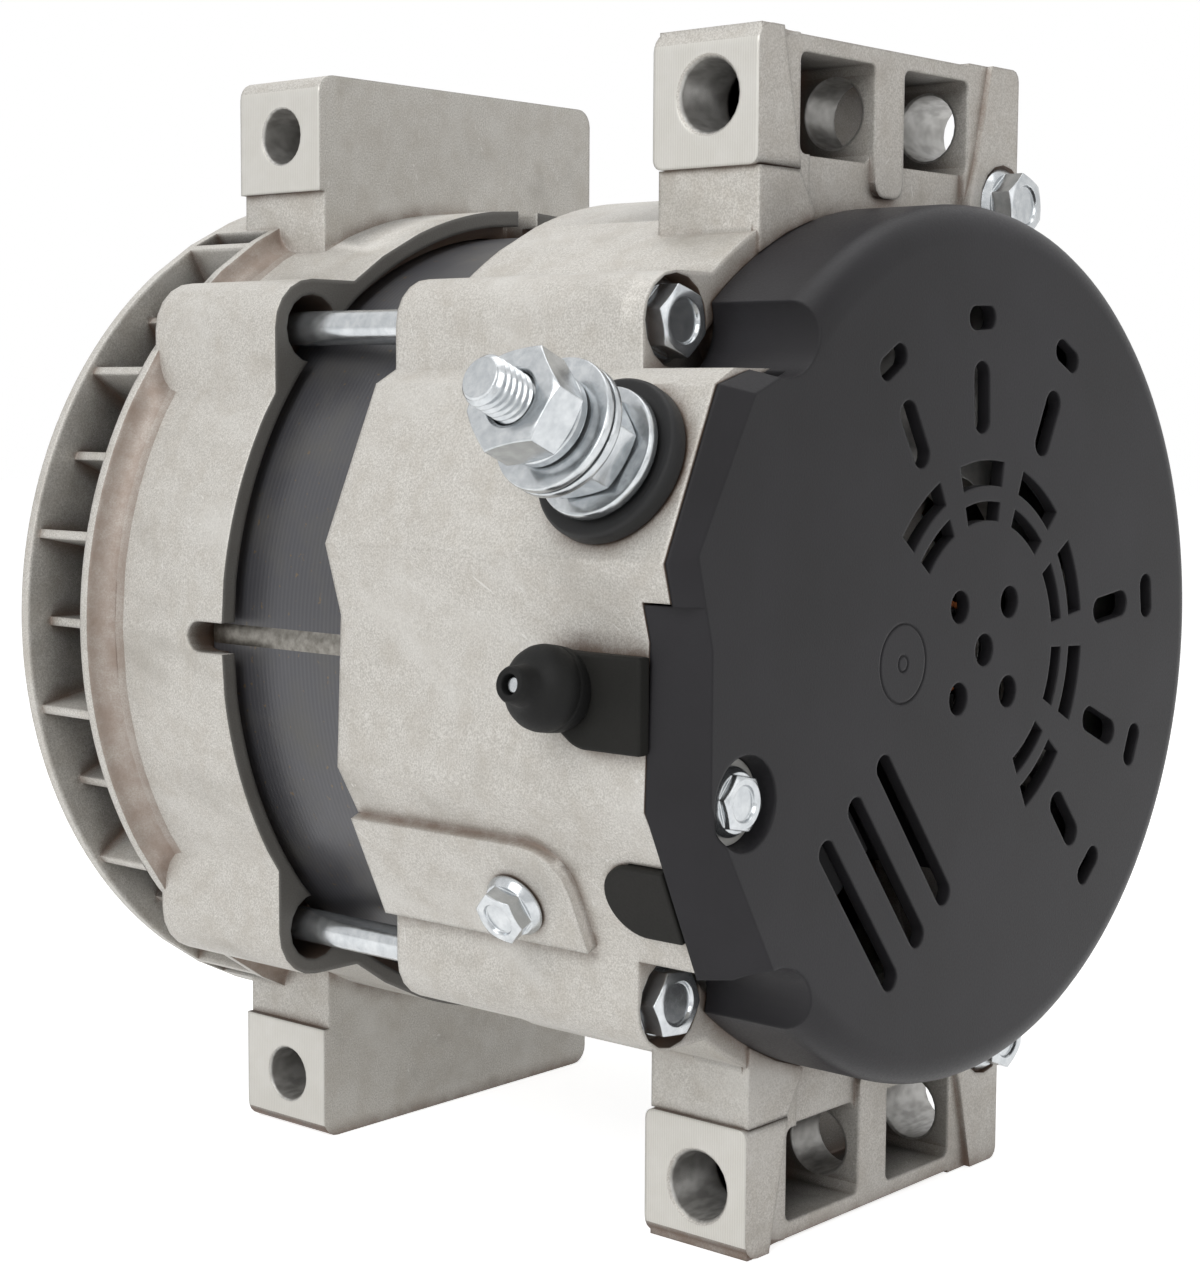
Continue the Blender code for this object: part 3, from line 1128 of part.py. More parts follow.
def build_stator(iron, copper):
    """Slotted core ring and the winding that passes through its slots."""
    core = tube(STATOR_RADIUS, STATOR_BORE_RADIUS, STATOR_REAR, STATOR_FRONT, LARGE_SEGMENTS)
    slots = []
    bars = []
    for index in range(SLOT_COUNT):
        frame = facet_frame(360 / SLOT_COUNT * index, 0.0)
        for width, low, high, near, far, store in (
                (SLOT_WIDTH, SLOT_INNER_RADIUS, SLOT_OUTER_RADIUS, STATOR_REAR - OVERRUN,
                 STATOR_FRONT + OVERRUN, slots),
                (SLOT_WIDTH - 2 * FIT_GAP, SLOT_INNER_RADIUS + FIT_GAP, SLOT_OUTER_RADIUS - FIT_GAP,
                 STATOR_REAR - WINDING_EDGE, STATOR_FRONT + WINDING_EDGE, bars)):
            outline = [(near, -width / 2), (far, -width / 2), (far, width / 2), (near, width / 2)]
            store.append(extruded(outline, frame, low, high))
    cut(core, join(slots))
    named("stator_core", core, iron)

    inner = SLOT_INNER_RADIUS - FIT_GAP
    outer = SLOT_OUTER_RADIUS + 2 * FIT_GAP
    rings = []
    for near, far in ((STATOR_REAR - WINDING_OVERHANG_REAR, STATOR_REAR - FIT_GAP),
                      (STATOR_FRONT + FIT_GAP, STATOR_FRONT + WINDING_OVERHANG_FRONT)):
        rings.append(lathe([(inner, near), (outer - WINDING_EDGE, near), (outer, near + WINDING_EDGE),
                            (outer, far), (inner, far)], SLOT_COUNT))
    winding = union(rings[0], rings[1], join(bars))
    named("stator_winding", winding, copper)


def bearing(name, bore, radius, near, width, steel, rotor):
    """A shielded ball bearing as an outer ring with shields and an inner ring."""
    wall = (radius - bore) * BEARING_RING_SHARE
    far = near + width
    shield = bore + wall + BEARING_SHIELD_GAP
    inside = radius - wall
    outer = [(inside, near + BEARING_SHIELD), (shield, near + BEARING_SHIELD), (shield, near), (radius, near),
             (radius, far), (shield, far), (shield, far - BEARING_SHIELD), (inside, far - BEARING_SHIELD)]
    named(name + "_outer", lathe(outer, MEDIUM_SEGMENTS), steel)
    inner = tube(bore + wall, bore + FIT_GAP, near, far)
    named(name + "_inner", inner, steel, parent=rotor)


def claw_pole(core_near, core_far, disc_near, disc_far, tip, turn):
    """One rotor half: core stub, disc and six claws tapering toward the tip."""
    solid = drum(POLE_CORE_RADIUS, min(core_near, disc_near), max(core_far, disc_far), MEDIUM_SEGMENTS)
    union(solid, drum(POLE_DISC_RADIUS, disc_near, disc_far, MEDIUM_SEGMENTS))
    forward = tip > disc_far
    heel = disc_near if forward else disc_far
    face = disc_far if forward else disc_near
    claws = []
    for index in range(POLE_COUNT):
        frame = facet_frame(turn + 360 / POLE_COUNT * index, 0.0)
        outline = [(heel, -FINGER_ROOT / 2), (face, -FINGER_ROOT / 2), (tip, -FINGER_TIP / 2),
                   (tip, FINGER_TIP / 2), (face, FINGER_ROOT / 2), (heel, FINGER_ROOT / 2)]
        claws.append(extruded(outline, frame, POLE_CORE_RADIUS + FINGER_TIP_THICKNESS,
                              ROTOR_RADIUS + FINGER_TIP_THICKNESS))
    union(solid, *claws)
    low, high = min(heel, tip) - OVERRUN, max(heel, tip) + OVERRUN
    common(solid, drum(ROTOR_RADIUS, low, high, LARGE_SEGMENTS))
    root = ROTOR_RADIUS - FINGER_ROOT_THICKNESS
    end = ROTOR_RADIUS - FINGER_TIP_THICKNESS
    slope = (end - root) / abs(tip - face)
    reach = abs(tip - face) + OVERRUN
    away = 1 if forward else -1
    hollow = [(POLE_CORE_RADIUS, face), (root, face), (root + slope * reach, face + away * reach),
              (POLE_CORE_RADIUS, face + away * reach)]
    cut(solid, lathe(hollow, MEDIUM_SEGMENTS))
    cut(solid, drum(SHAFT_MIDDLE_RADIUS + FIT_GAP, low, high, MEDIUM_SEGMENTS))
    return solid


def build_rotor(rotor, steel, iron, copper, plastic, aluminium, zinc):
    """Shaft, claw poles, coil, fan, slip rings and the pieces on the shaft's nose."""
    front_bearing_front = FRONT_BEARING_REAR + FRONT_BEARING_WIDTH
    collar_near = front_bearing_front + FIT_GAP
    collar_far = collar_near + COLLAR_LENGTH
    seat = FRONT_BEARING_BORE
    pole_far = POLE_FRONT + FIT_GAP
    profile = [(0.0, SHAFT_REAR), (SHAFT_STEM_RADIUS, SHAFT_REAR), (SHAFT_STEM_RADIUS, SHAFT_STEM_FRONT),
               (REAR_BEARING_BORE, SHAFT_STEM_FRONT), (REAR_BEARING_BORE, SHAFT_MIDDLE_REAR),
               (SHAFT_MIDDLE_RADIUS, SHAFT_MIDDLE_REAR), (SHAFT_MIDDLE_RADIUS, pole_far), (seat, pole_far),
               (seat, collar_near), (PULLEY_SEAT_RADIUS, collar_near), (PULLEY_SEAT_RADIUS, PULLEY_SEAT_FRONT),
               (SHAFT_THREAD_RADIUS, PULLEY_SEAT_FRONT),
               (SHAFT_THREAD_RADIUS, OVERALL_LENGTH - SHAFT_CHAMFER),
               (SHAFT_THREAD_RADIUS - SHAFT_CHAMFER, OVERALL_LENGTH), (0.0, OVERALL_LENGTH)]
    named("rotor_shaft", lathe(profile, MEDIUM_SEGMENTS), steel, parent=rotor)

    middle = (POLE_REAR + POLE_FRONT) / 2
    rear_face = POLE_REAR + POLE_DISC
    front_face = POLE_FRONT - POLE_DISC
    rear = claw_pole(rear_face, middle - FIT_GAP / 2, POLE_REAR, rear_face, POLE_FRONT - FINGER_END_GAP, 0)
    named("claw_pole_rear", rear, iron, parent=rotor)
    front = claw_pole(middle + FIT_GAP / 2, front_face, front_face, POLE_FRONT, POLE_REAR + FINGER_END_GAP, 30)
    named("claw_pole_front", front, iron, parent=rotor)
    coil = tube(COIL_OUTER_RADIUS, POLE_CORE_RADIUS + FIT_GAP, rear_face + COIL_END_GAP,
                front_face - COIL_END_GAP)
    named("field_coil", coil, copper, parent=rotor)

    spacer = tube(SPACER_RADIUS, seat + FIT_GAP, pole_far, FAN_REAR - FIT_GAP)
    named("fan_spacer", spacer, steel, parent=rotor)
    fan = tube(FAN_RADIUS, seat + FIT_GAP, FAN_REAR, FAN_REAR + FAN_DISC, 3 * FAN_BLADES)
    blades = []
    for index in range(FAN_BLADES):
        lead = 360 / FAN_BLADES * index
        mean = (FAN_BLADE_INNER + FAN_RADIUS) / 2
        thin = math.degrees(FAN_BLADE_THICKNESS / mean)
        path = [polar(FAN_BLADE_INNER, lead), polar(mean, lead + FAN_BLADE_SWEEP * FAN_BLADE_MIDDLE_SHARE),
                polar(FAN_RADIUS - FIT_GAP, lead + FAN_BLADE_SWEEP)]
        back = [polar(FAN_RADIUS - FIT_GAP, lead + FAN_BLADE_SWEEP + thin),
                polar(mean, lead + FAN_BLADE_SWEEP * FAN_BLADE_MIDDLE_SHARE + thin), polar(FAN_BLADE_INNER, lead + thin)]
        blades.append(prism(path + back, FAN_REAR + FAN_DISC / 2, FAN_BLADE_FRONT))
    union(fan, join(blades))
    named("cooling_fan", fan, aluminium, parent=rotor)

    sleeve = tube(SLEEVE_RADIUS, SHAFT_STEM_RADIUS + FIT_GAP, SLEEVE_REAR, SLEEVE_FRONT)
    named("slip_ring_sleeve", sleeve, plastic, parent=rotor)
    for name, near in (("slip_ring_outer", OUTER_RING_REAR), ("slip_ring_inner", INNER_RING_REAR)):
        ring = tube(RING_RADIUS, SLEEVE_RADIUS + FIT_GAP, near, near + RING_WIDTH)
        named(name, ring, copper, parent=rotor)

    bearing("rear_bearing", REAR_BEARING_BORE, REAR_BEARING_RADIUS, REAR_BEARING_REAR, REAR_BEARING_WIDTH,
            steel, rotor)
    bearing("front_bearing", FRONT_BEARING_BORE, FRONT_BEARING_RADIUS, FRONT_BEARING_REAR,
            FRONT_BEARING_WIDTH, steel, rotor)

    collar = tube(COLLAR_RADIUS, PULLEY_SEAT_RADIUS + FIT_GAP, collar_near + FIT_GAP, collar_far)
    named("shaft_collar", collar, steel, parent=rotor)
    washer_near = PULLEY_SEAT_FRONT + FIT_GAP
    washer_far = washer_near + SHAFT_WASHER_THICKNESS
    washer = tube(SHAFT_WASHER_RADIUS, SHAFT_THREAD_RADIUS + FIT_GAP, washer_near, washer_far)
    named("shaft_washer", washer, steel, parent=rotor)
    nut_near = washer_far + FIT_GAP
    solid = nut(shaft_frame(), SHAFT_NUT_HEX, -nut_near - SHAFT_NUT_HEIGHT, -nut_near,
                SHAFT_THREAD_RADIUS + FIT_GAP)
    named("shaft_nut", solid, zinc, parent=rotor)


def build_retainer(steel, zinc):
    """Plate that holds the front bearing's outer ring, with four screws."""
    far = FRONT_HUB_REAR - FIT_GAP
    near = far - RETAINER_THICKNESS
    plate = tube(RETAINER_RADIUS, RETAINER_BORE_RADIUS, near, far)
    holes = [drum(RETAINER_SCREW_RADIUS + FIT_GAP, near - OVERRUN, far + OVERRUN, 12,
                  *polar(RETAINER_SCREW_CIRCLE, angle)) for angle in RETAINER_SCREW_ANGLES]
    cut(plate, join(holes))
    named("bearing_retainer", plate, steel)
    seat = near - FIT_GAP
    for index, angle in enumerate((45, 135, 225, 315)):
        x, z = polar(RETAINER_SCREW_CIRCLE, angle)
        tip = FRONT_HUB_REAR + RETAINER_SCREW_LENGTH - FIT_GAP
        screw = lathe([(0.0, seat - RETAINER_HEAD_HEIGHT), (RETAINER_HEAD_RADIUS, seat - RETAINER_HEAD_HEIGHT),
                       (RETAINER_HEAD_RADIUS, seat), (RETAINER_SCREW_RADIUS, seat),
                       (RETAINER_SCREW_RADIUS, tip), (0.0, tip)], 12, x, z)
        named("retainer_screw_%d" % (index + 1), screw, zinc)


def build_rectifier(aluminium, black):
    """Two heat sinks with their diodes."""
    positive_far = POSITIVE_SINK_REAR + SINK_THICKNESS
    negative_far = NEGATIVE_SINK_REAR + SINK_THICKNESS
    positive = prism(sector(SINK_INNER_RADIUS, SINK_OUTER_RADIUS, SINK_START, SINK_END, 14),
                     POSITIVE_SINK_REAR, positive_far)
    legs = [drum(SINK_LEG_RADIUS, POSITIVE_SINK_REAR + FIT_GAP, NEGATIVE_SINK_REAR - FIT_GAP, 16,
                 *polar(SINK_PILLAR_CIRCLE - SINK_PILLAR_RADIUS, angle)) for angle in SINK_LEG_ANGLES]
    x, z = polar(STUD_FOOT_RADIUS, STUD_ANGLE)
    boss = drum(STUD_BOSS_RADIUS, POSITIVE_SINK_REAR + FIT_GAP, DECK_REAR - 2 * FIT_GAP, SMALL_SEGMENTS, x, z)
    union(positive, *legs, boss)
    stud_frame = facet_frame(STUD_ANGLE, 0.0) @ Matrix.Translation((STUD_DEPTH, 0, 0))
    cut(positive, pin(stud_frame, STUD_RADIUS + STUD_THREAD_GAP, STUD_FOOT_RADIUS - FIT_GAP, STUD_TIP))
    negative = prism(sector(SINK_INNER_RADIUS, SINK_OUTER_RADIUS, SINK_START, SINK_END, 14),
                     NEGATIVE_SINK_REAR, negative_far)
    cut(negative, drum(STUD_BOSS_RADIUS + 2 * STUD_BOSS_RADIUS, NEGATIVE_SINK_REAR - OVERRUN,
                       negative_far + OVERRUN, SMALL_SEGMENTS, x, z))
    for sink, near, angles, name in ((positive, POSITIVE_SINK_REAR, POSITIVE_DIODE_ANGLES, "positive"),
                                     (negative, NEGATIVE_SINK_REAR, NEGATIVE_DIODE_ANGLES, "negative")):
        middle = near + SINK_THICKNESS / 2
        holes = [drum(DIODE_RADIUS + FIT_GAP, near - OVERRUN, near + OVERRUN, SMALL_SEGMENTS,
                      *polar(DIODE_CIRCLE, angle)) for angle in angles]
        cut(sink, join(holes))
        for index, angle in enumerate(angles):
            spot = polar(DIODE_CIRCLE, angle)
            diode = drum(DIODE_RADIUS, middle - DIODE_LENGTH / 2, middle + DIODE_LENGTH / 2, SMALL_SEGMENTS, *spot)
            named("%s_diode_%d" % (name, index + 1), diode, black)
    named("positive_heat_sink", positive, aluminium)
    named("negative_heat_sink", negative, aluminium)


def build_regulator(plastic):
    """Voltage regulator block standing on the deck by a foot."""
    length_x, length_z = polar(REGULATOR_LENGTH / 2, REGULATOR_ANGLE)
    outline = slot(REGULATOR_X, REGULATOR_Z, REGULATOR_LENGTH, REGULATOR_WIDTH, REGULATOR_ANGLE, 1)
    body = prism(outline, REGULATOR_REAR, REGULATOR_BODY_FRONT)
    foot = drum(REGULATOR_WIDTH * REGULATOR_FOOT_SHARE, REGULATOR_BODY_FRONT - FIT_GAP,
                DECK_REAR - FIT_GAP, SMALL_SEGMENTS, REGULATOR_X, REGULATOR_Z)
    named("voltage_regulator", union(body, foot), plastic)


def brush_centre(near):
    """Centre depth of the brush that runs on a slip ring."""
    return near + RING_WIDTH / 2


def build_brushes(plastic, carbon, steel):
    """Brush holder with two sprung brushes below the slip rings."""
    holder = prism([(-HOLDER_HALF_WIDTH, HOLDER_TOP), (HOLDER_HALF_WIDTH, HOLDER_TOP),
                    (HOLDER_HALF_WIDTH, HOLDER_BOTTOM), (-HOLDER_HALF_WIDTH, HOLDER_BOTTOM)],
                   HOLDER_REAR, HOLDER_FRONT)
    foot = prism([(-HOLDER_FOOT_HALF_WIDTH, HOLDER_BOTTOM), (HOLDER_FOOT_HALF_WIDTH, HOLDER_BOTTOM),
                  (HOLDER_FOOT_HALF_WIDTH, HOLDER_BOTTOM + 2 * HOLDER_FOOT_HALF_WIDTH),
                  (-HOLDER_FOOT_HALF_WIDTH, HOLDER_BOTTOM + 2 * HOLDER_FOOT_HALF_WIDTH)],
                 HOLDER_FRONT - FIT_GAP, DECK_REAR - FIT_GAP)
    union(holder, foot)
    channel_end = HOLDER_BOTTOM + HOLDER_END_WALL
    half_width = BRUSH_WIDTH / 2
    half_depth = BRUSH_THICKNESS / 2
    top = -(RING_RADIUS + FIT_GAP)
    for name, near in (("outer", OUTER_RING_REAR), ("inner", INNER_RING_REAR)):
        middle = brush_centre(near)
        room = prism([(-half_width - SLIDE_GAP, HOLDER_TOP + OVERRUN), (half_width + SLIDE_GAP, HOLDER_TOP + OVERRUN),
                      (half_width + SLIDE_GAP, channel_end), (-half_width - SLIDE_GAP, channel_end)],
                     middle - half_depth - SLIDE_GAP, middle + half_depth + SLIDE_GAP)
        cut(holder, room)
        brush = prism([(-half_width, top), (half_width, top), (half_width, top - BRUSH_LENGTH),
                       (-half_width, top - BRUSH_LENGTH)], middle - half_depth, middle + half_depth)
        origin = Vector((0, station(middle), top - BRUSH_LENGTH / 2))
        named("brush_" + name, brush, carbon, origin)
        spring = coil_spring(middle, channel_end + FIT_GAP, top - BRUSH_LENGTH - FIT_GAP)
        named("brush_spring_" + name, spring, steel)
    named("brush_holder", holder, plastic)


def coil_spring(depth, low, high):
    """Helical spring standing along Z between two heights."""
    sides = 3
    steps = 7 * SPRING_TURNS
    start = low + SPRING_WIRE_RADIUS
    rise = high - low - 2 * SPRING_WIRE_RADIUS
    bm = bmesh.new()
    loops = []
    for step in range(steps + 1):
        share = step / steps
        turn = math.tau * SPRING_TURNS * share
        loop = []
        for side in range(sides):
            roll = math.tau * side / sides
            radius = SPRING_RADIUS + SPRING_WIRE_RADIUS * math.cos(roll)
            height = start + rise * share + SPRING_WIRE_RADIUS * math.sin(roll)
            loop.append(bm.verts.new((radius * math.cos(turn), station(depth) + radius * math.sin(turn), height)))
        loops.append(loop)
    for first, second in zip(loops, loops[1:]):
        for side in range(sides):
            after = (side + 1) % sides
            bm.faces.new((first[side], first[after], second[after], second[side]))
    bm.faces.new(loops[0])
    bm.faces.new(loops[-1])
    return solid_from(bm, Matrix.Identity(4))


def build_battery_stud(black, zinc):
    """Threaded stud through the upper facet with insulator, nuts and washers."""
    frame = facet_frame(STUD_ANGLE, 0.0) @ Matrix.Translation((STUD_DEPTH, 0, 0))
    bore = STUD_RADIUS + STUD_THREAD_GAP
    stud = turned([(0.0, STUD_FOOT_RADIUS), (STUD_RADIUS, STUD_FOOT_RADIUS), (STUD_RADIUS, STUD_TIP - STUD_POINT),
                   (STUD_RADIUS - STUD_POINT, STUD_TIP), (0.0, STUD_TIP)], frame, SMALL_SEGMENTS)
    named("battery_stud", stud, zinc)
    base = INSULATOR_BASE
    face = base + INSULATOR_THICKNESS
    sleeve_end = base - INSULATOR_SLEEVE_LENGTH
    insulator = turned([(bore, sleeve_end), (INSULATOR_SLEEVE_RADIUS, sleeve_end),
                        (INSULATOR_SLEEVE_RADIUS, base), (INSULATOR_RADIUS, base), (INSULATOR_RADIUS, face),
                        (bore, face)], frame, MEDIUM_SEGMENTS)
    named("stud_insulator", insulator, black)
    low = face + FIT_GAP
    high = low + LARGE_WASHER_THICKNESS
    ring = turned([(bore, low), (STUD_WASHER_RADIUS, low), (STUD_WASHER_RADIUS, high), (bore, high)],
                  frame, MEDIUM_SEGMENTS)
    named("stud_large_washer", ring, zinc)
    low = high + FIT_GAP
    high = low + STUD_NUT_HEIGHT
    named("stud_inner_nut", nut(frame, STUD_NUT_HEX, low, high, bore, 10), zinc)
    for name, radius, thickness in (("stud_thin_washer", STUD_WASHER_RADIUS, THIN_WASHER_THICKNESS),
                                    ("stud_flat_washer", STUD_WASHER_RADIUS, THIN_WASHER_THICKNESS),
                                    ("stud_spring_washer", SPRING_WASHER_RADIUS, SPRING_WASHER_THICKNESS)):
        low = high + FIT_GAP
        high = low + thickness
        ring = turned([(bore, low), (radius, low), (radius, high), (bore, high)], frame, MEDIUM_SEGMENTS)
        named(name, ring, zinc)
    low = high + FIT_GAP
    named("stud_outer_nut", nut(frame, STUD_NUT_HEX, low, low + STUD_OUTER_NUT_HEIGHT, bore, 25), zinc)


def build_relay_terminal(black, rubber, zinc):
    """Terminal block on the middle facet with its stud and rubber boot."""
    frame = relay_frame()
    inner_x = -(MIDDLE_FACET_DISTANCE + RELAY_ARM_GAP)
    middle_z = (RELAY_ARM_TOP + RELAY_ARM_BOTTOM) / 2
    half = (RELAY_ARM_TOP - RELAY_ARM_BOTTOM) / 2
    outline = [(RELAY_ARM_REAR, middle_z - half), (RELAY_ARM_FRONT, middle_z - half)]
    outline += arc(RELAY_DEPTH, RELAY_Z, RELAY_PAD_RADIUS, -80, 80)
    outline += [(RELAY_ARM_FRONT, middle_z + half), (RELAY_ARM_REAR, middle_z + half)]
    block = extruded(outline, facet_frame(0, 0.0), RELAY_ARM_FACE, inner_x)
    union(block, pin(frame, RELAY_SLEEVE_RADIUS, -RELAY_SLEEVE_LENGTH, -FIT_GAP))
    bore = RELAY_STUD_RADIUS + FIT_GAP
    cut(block, pin(frame, bore, -RELAY_SLEEVE_LENGTH - OVERRUN, OVERRUN, 16))
    named("relay_terminal_block", block, black)
    stud = pin(frame, RELAY_STUD_RADIUS, -RELAY_SLEEVE_LENGTH - RELAY_ARM_GAP, BOOT_LENGTH - BOOT_NECK_RADIUS, 16)
    named("relay_stud", stud, zinc)
    base = -RELAY_PAD_RADIUS / 2
    dome = []
    for step in range(CORNER_STEPS + 1):
        turn = math.radians(90 * step / CORNER_STEPS)
        radius = BOOT_NECK_RADIUS + (BOOT_SHOULDER_RADIUS - BOOT_NECK_RADIUS) * math.cos(turn)
        dome.append((radius, BOOT_SHOULDER_OUT + (BOOT_NECK_OUT - BOOT_SHOULDER_OUT) * math.sin(turn)))
    bore = max(BOOT_BORE_RADIUS, bore)
    profile = [(bore, base), (BOOT_BASE_RADIUS, base)] + dome
    profile += [(BOOT_NECK_RADIUS, BOOT_LENGTH), (bore, BOOT_LENGTH)]
    boot = turned(profile, frame, SMALL_SEGMENTS)
    span = 2 * RELAY_PAD_RADIUS
    beside = [(RELAY_DEPTH - span, RELAY_Z - span), (RELAY_DEPTH + span, RELAY_Z - span),
              (RELAY_DEPTH + span, RELAY_Z + span), (RELAY_DEPTH - span, RELAY_Z + span)]
    cut(boot, extruded(beside, facet_frame(0, 0.0), RELAY_ARM_FACE - FIT_GAP, RELAY_X + span))
    named("relay_boot", boot, rubber)


def main():
    """Build every piece of the alternator."""
    clear_scene()
    cast = surface("cast_aluminium", "C9C3BA", 0.55, 0.7)
    sheet = surface("sheet_aluminium", "BDBEBF", 0.4, 0.9)
    zinc = surface("zinc_plated_steel", "C6C9CC", 0.25, 1.0)
    steel = surface("machined_steel", "9A9B9D", 0.3, 1.0)
    lacquer = surface("black_lacquered_iron", "2E2E30", 0.4, 0.0)
    iron = surface("pole_iron", "5A5753", 0.5, 0.8)
    copper = surface("copper", "A8623A", 0.35, 1.0)
    plastic = surface("black_plastic", "2B2A2D", 0.6, 0.0)
    rubber = surface("black_rubber", "1F1F20", 0.8, 0.0)
    carbon = surface("carbon_brush", "33312F", 0.7, 0.0)

    rotor = bpy.data.objects.new("rotor_axis", None)
    bpy.context.scene.collection.objects.link(rotor)

    build_rear_housing(cast)
    build_front_housing(cast)
    build_cover(plastic)
    build_fasteners(zinc)
    build_stator(lacquer, copper)
    build_rotor(rotor, steel, iron, copper, plastic, sheet, zinc)
    build_retainer(steel, zinc)
    build_rectifier(sheet, plastic)
    build_regulator(plastic)
    build_brushes(plastic, carbon, steel)
    build_battery_stud(plastic, zinc)
    build_relay_terminal(plastic, rubber, zinc)
    named("terminal_plug", plug_solid(0.0, 0.0), rubber)


main()
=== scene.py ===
# %% [markdown]
# # A heavy pad-mount alternator head, dressed for the camera
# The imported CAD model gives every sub-part its size, its place and its joint. This script gives
# each visible surface its finish, and puts detailed pieces in the places of the plain CAD cover,
# fasteners, terminals and shaft.

# %% Load the frame
import math
import bmesh
import bpy
from mathutils import Matrix, Vector


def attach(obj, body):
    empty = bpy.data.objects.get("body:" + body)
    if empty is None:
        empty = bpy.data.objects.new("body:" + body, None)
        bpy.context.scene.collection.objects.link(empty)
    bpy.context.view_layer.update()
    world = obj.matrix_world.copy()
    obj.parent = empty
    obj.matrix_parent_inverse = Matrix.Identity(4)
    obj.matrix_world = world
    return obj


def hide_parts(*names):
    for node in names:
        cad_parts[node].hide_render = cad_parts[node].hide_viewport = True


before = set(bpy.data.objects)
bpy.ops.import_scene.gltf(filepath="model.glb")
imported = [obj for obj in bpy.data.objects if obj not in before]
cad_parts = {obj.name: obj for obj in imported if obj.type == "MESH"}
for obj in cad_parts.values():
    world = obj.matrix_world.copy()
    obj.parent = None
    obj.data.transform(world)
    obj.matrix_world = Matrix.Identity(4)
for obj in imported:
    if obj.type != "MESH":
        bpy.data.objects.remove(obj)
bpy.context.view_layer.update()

# %% [markdown]
# ## The frame of the object
# Depths are measured from the rear face of the plastic cover towards the drive end. The frame's
# origin is the drive end of the shaft, so a depth becomes a world Y by taking off the overall
# length. A side frame has its local z out of the side of the body and its local x along the shaft,
# and a rear frame has its local z towards the rear. Angles are degrees round the shaft, from the
# right-hand side upward, and all lengths are metres.

# %% Places
OVERALL_LENGTH = 0.2060
STUD_ANGLE = 156.7
STUD_DEPTH = 0.0180
LOWER_FACET = 204.7


def station(depth):
    """World Y of a depth from the rear face."""
    return depth - OVERALL_LENGTH


def side_frame(angle, depth, radius=0.0, along=0.0):
    """Local z out of the side at this angle, local x towards the drive end."""
    turn = math.radians(angle)
    outward = Vector((math.cos(turn), 0, math.sin(turn)))
    tangent = Vector((-math.sin(turn), 0, math.cos(turn)))
    place = Matrix((Vector((0, 1, 0)), tangent, outward)).transposed().to_4x4()
    origin = outward * radius + tangent * along + Vector((0, station(depth), 0))
    return Matrix.Translation(origin) @ place


def rear_frame(x, z, depth):
    """Local z towards the rear, local x to the right and local y up."""
    place = Matrix(((1, 0, 0), (0, 0, -1), (0, 1, 0))).to_4x4()
    return Matrix.Translation((x, station(depth), z)) @ place


def front_frame(depth):
    """Local z towards the drive end, on the shaft's axis."""
    place = Matrix(((1, 0, 0), (0, 0, 1), (0, -1, 0))).to_4x4()
    return Matrix.Translation((0, station(depth), 0)) @ place


print("stud axis starts at", side_frame(STUD_ANGLE, STUD_DEPTH).translation)

# %% [markdown]
# ## Colours and shader nodes
# Colours are written as the sRGB hex values that the eye reads off a screen, and one function
# turns them into the linear values that the shaders work in. Another adds a node with its
# settings, constants and links, and the rest name the steps that the materials share.

# %% Colour and node helpers
def linear(code):
    """Linear RGBA of an sRGB hex colour."""
    parts = [int(code[place:place + 2], 16) / 255 for place in (1, 3, 5)]
    return tuple(p / 12.92 if p <= 0.04045 else ((p + 0.055) / 1.055) ** 2.4 for p in parts) + (1.0,)


def add_node(tree, kind, inputs=None, **settings):
    """New node with its settings, its constants and its links."""
    node = tree.nodes.new(kind)
    for name, value in settings.items():
        setattr(node, name, value)
    for socket, value in (inputs or {}).items():
        if isinstance(value, bpy.types.NodeSocket):
            tree.links.new(value, node.inputs[socket])
        else:
            node.inputs[socket].default_value = value
    return node


def start_material(name, metallic, roughness, ior=1.5):
    """Material with its principled shader and the object's own coordinates."""
    material = bpy.data.materials.new(name)
    material.use_nodes = True
    tree = material.node_tree
    shader = tree.nodes["Principled BSDF"]
    shader.inputs["Metallic"].default_value = metallic
    shader.inputs["Roughness"].default_value = roughness
    shader.inputs["IOR"].default_value = ior
    place = add_node(tree, "ShaderNodeTexCoord").outputs["Object"]
    return material, tree, shader, place


def blend_colours(tree, amount, first, second):
    """Colour between two colours."""
    node = add_node(tree, "ShaderNodeMix", {0: amount, 6: first, 7: second}, data_type="RGBA")
    return node.outputs[2]


def blend_values(tree, amount, first, second):
    """Value between two values."""
    node = add_node(tree, "ShaderNodeMix", {0: amount, 2: first, 3: second}, data_type="FLOAT")
    return node.outputs[0]


def layered(tree, colour, *layers):
    """Colour with tones laid over it, each through its mask."""
    for mask, tone in layers:
        colour = blend_colours(tree, mask, colour, linear(tone))
    return colour


def noise(tree, place, size, detail=2.0, rough=0.5):
    """Noise whose grains are about this many metres across."""
    node = add_node(tree, "ShaderNodeTexNoise",
                    {"Vector": place, "Scale": 1.0 / size, "Detail": detail, "Roughness": rough})
    return node.outputs["Fac"]


def bands(tree, place, scale, distortion, fine):
    """Slightly wavy bands that follow each other along the shaft."""
    inputs = {"Vector": place, "Scale": scale, "Distortion": distortion, "Detail": 2.0, "Detail Scale": fine}
    node = add_node(tree, "ShaderNodeTexWave", inputs, wave_type="BANDS", bands_direction="Y")
    return node.outputs["Fac"]


def spread(tree, value, low, high, to_low=0.0, to_high=1.0):
    """Value stretched from one range to another and held inside it."""
    node = add_node(tree, "ShaderNodeMapRange", {0: value, 1: low, 2: high, 3: to_low, 4: to_high})
    return node.outputs[0]


def calculate(tree, operation, first, second=0.0):
    """Result of one sum or comparison."""
    return add_node(tree, "ShaderNodeMath", {0: first, 1: second}, operation=operation).outputs[0]


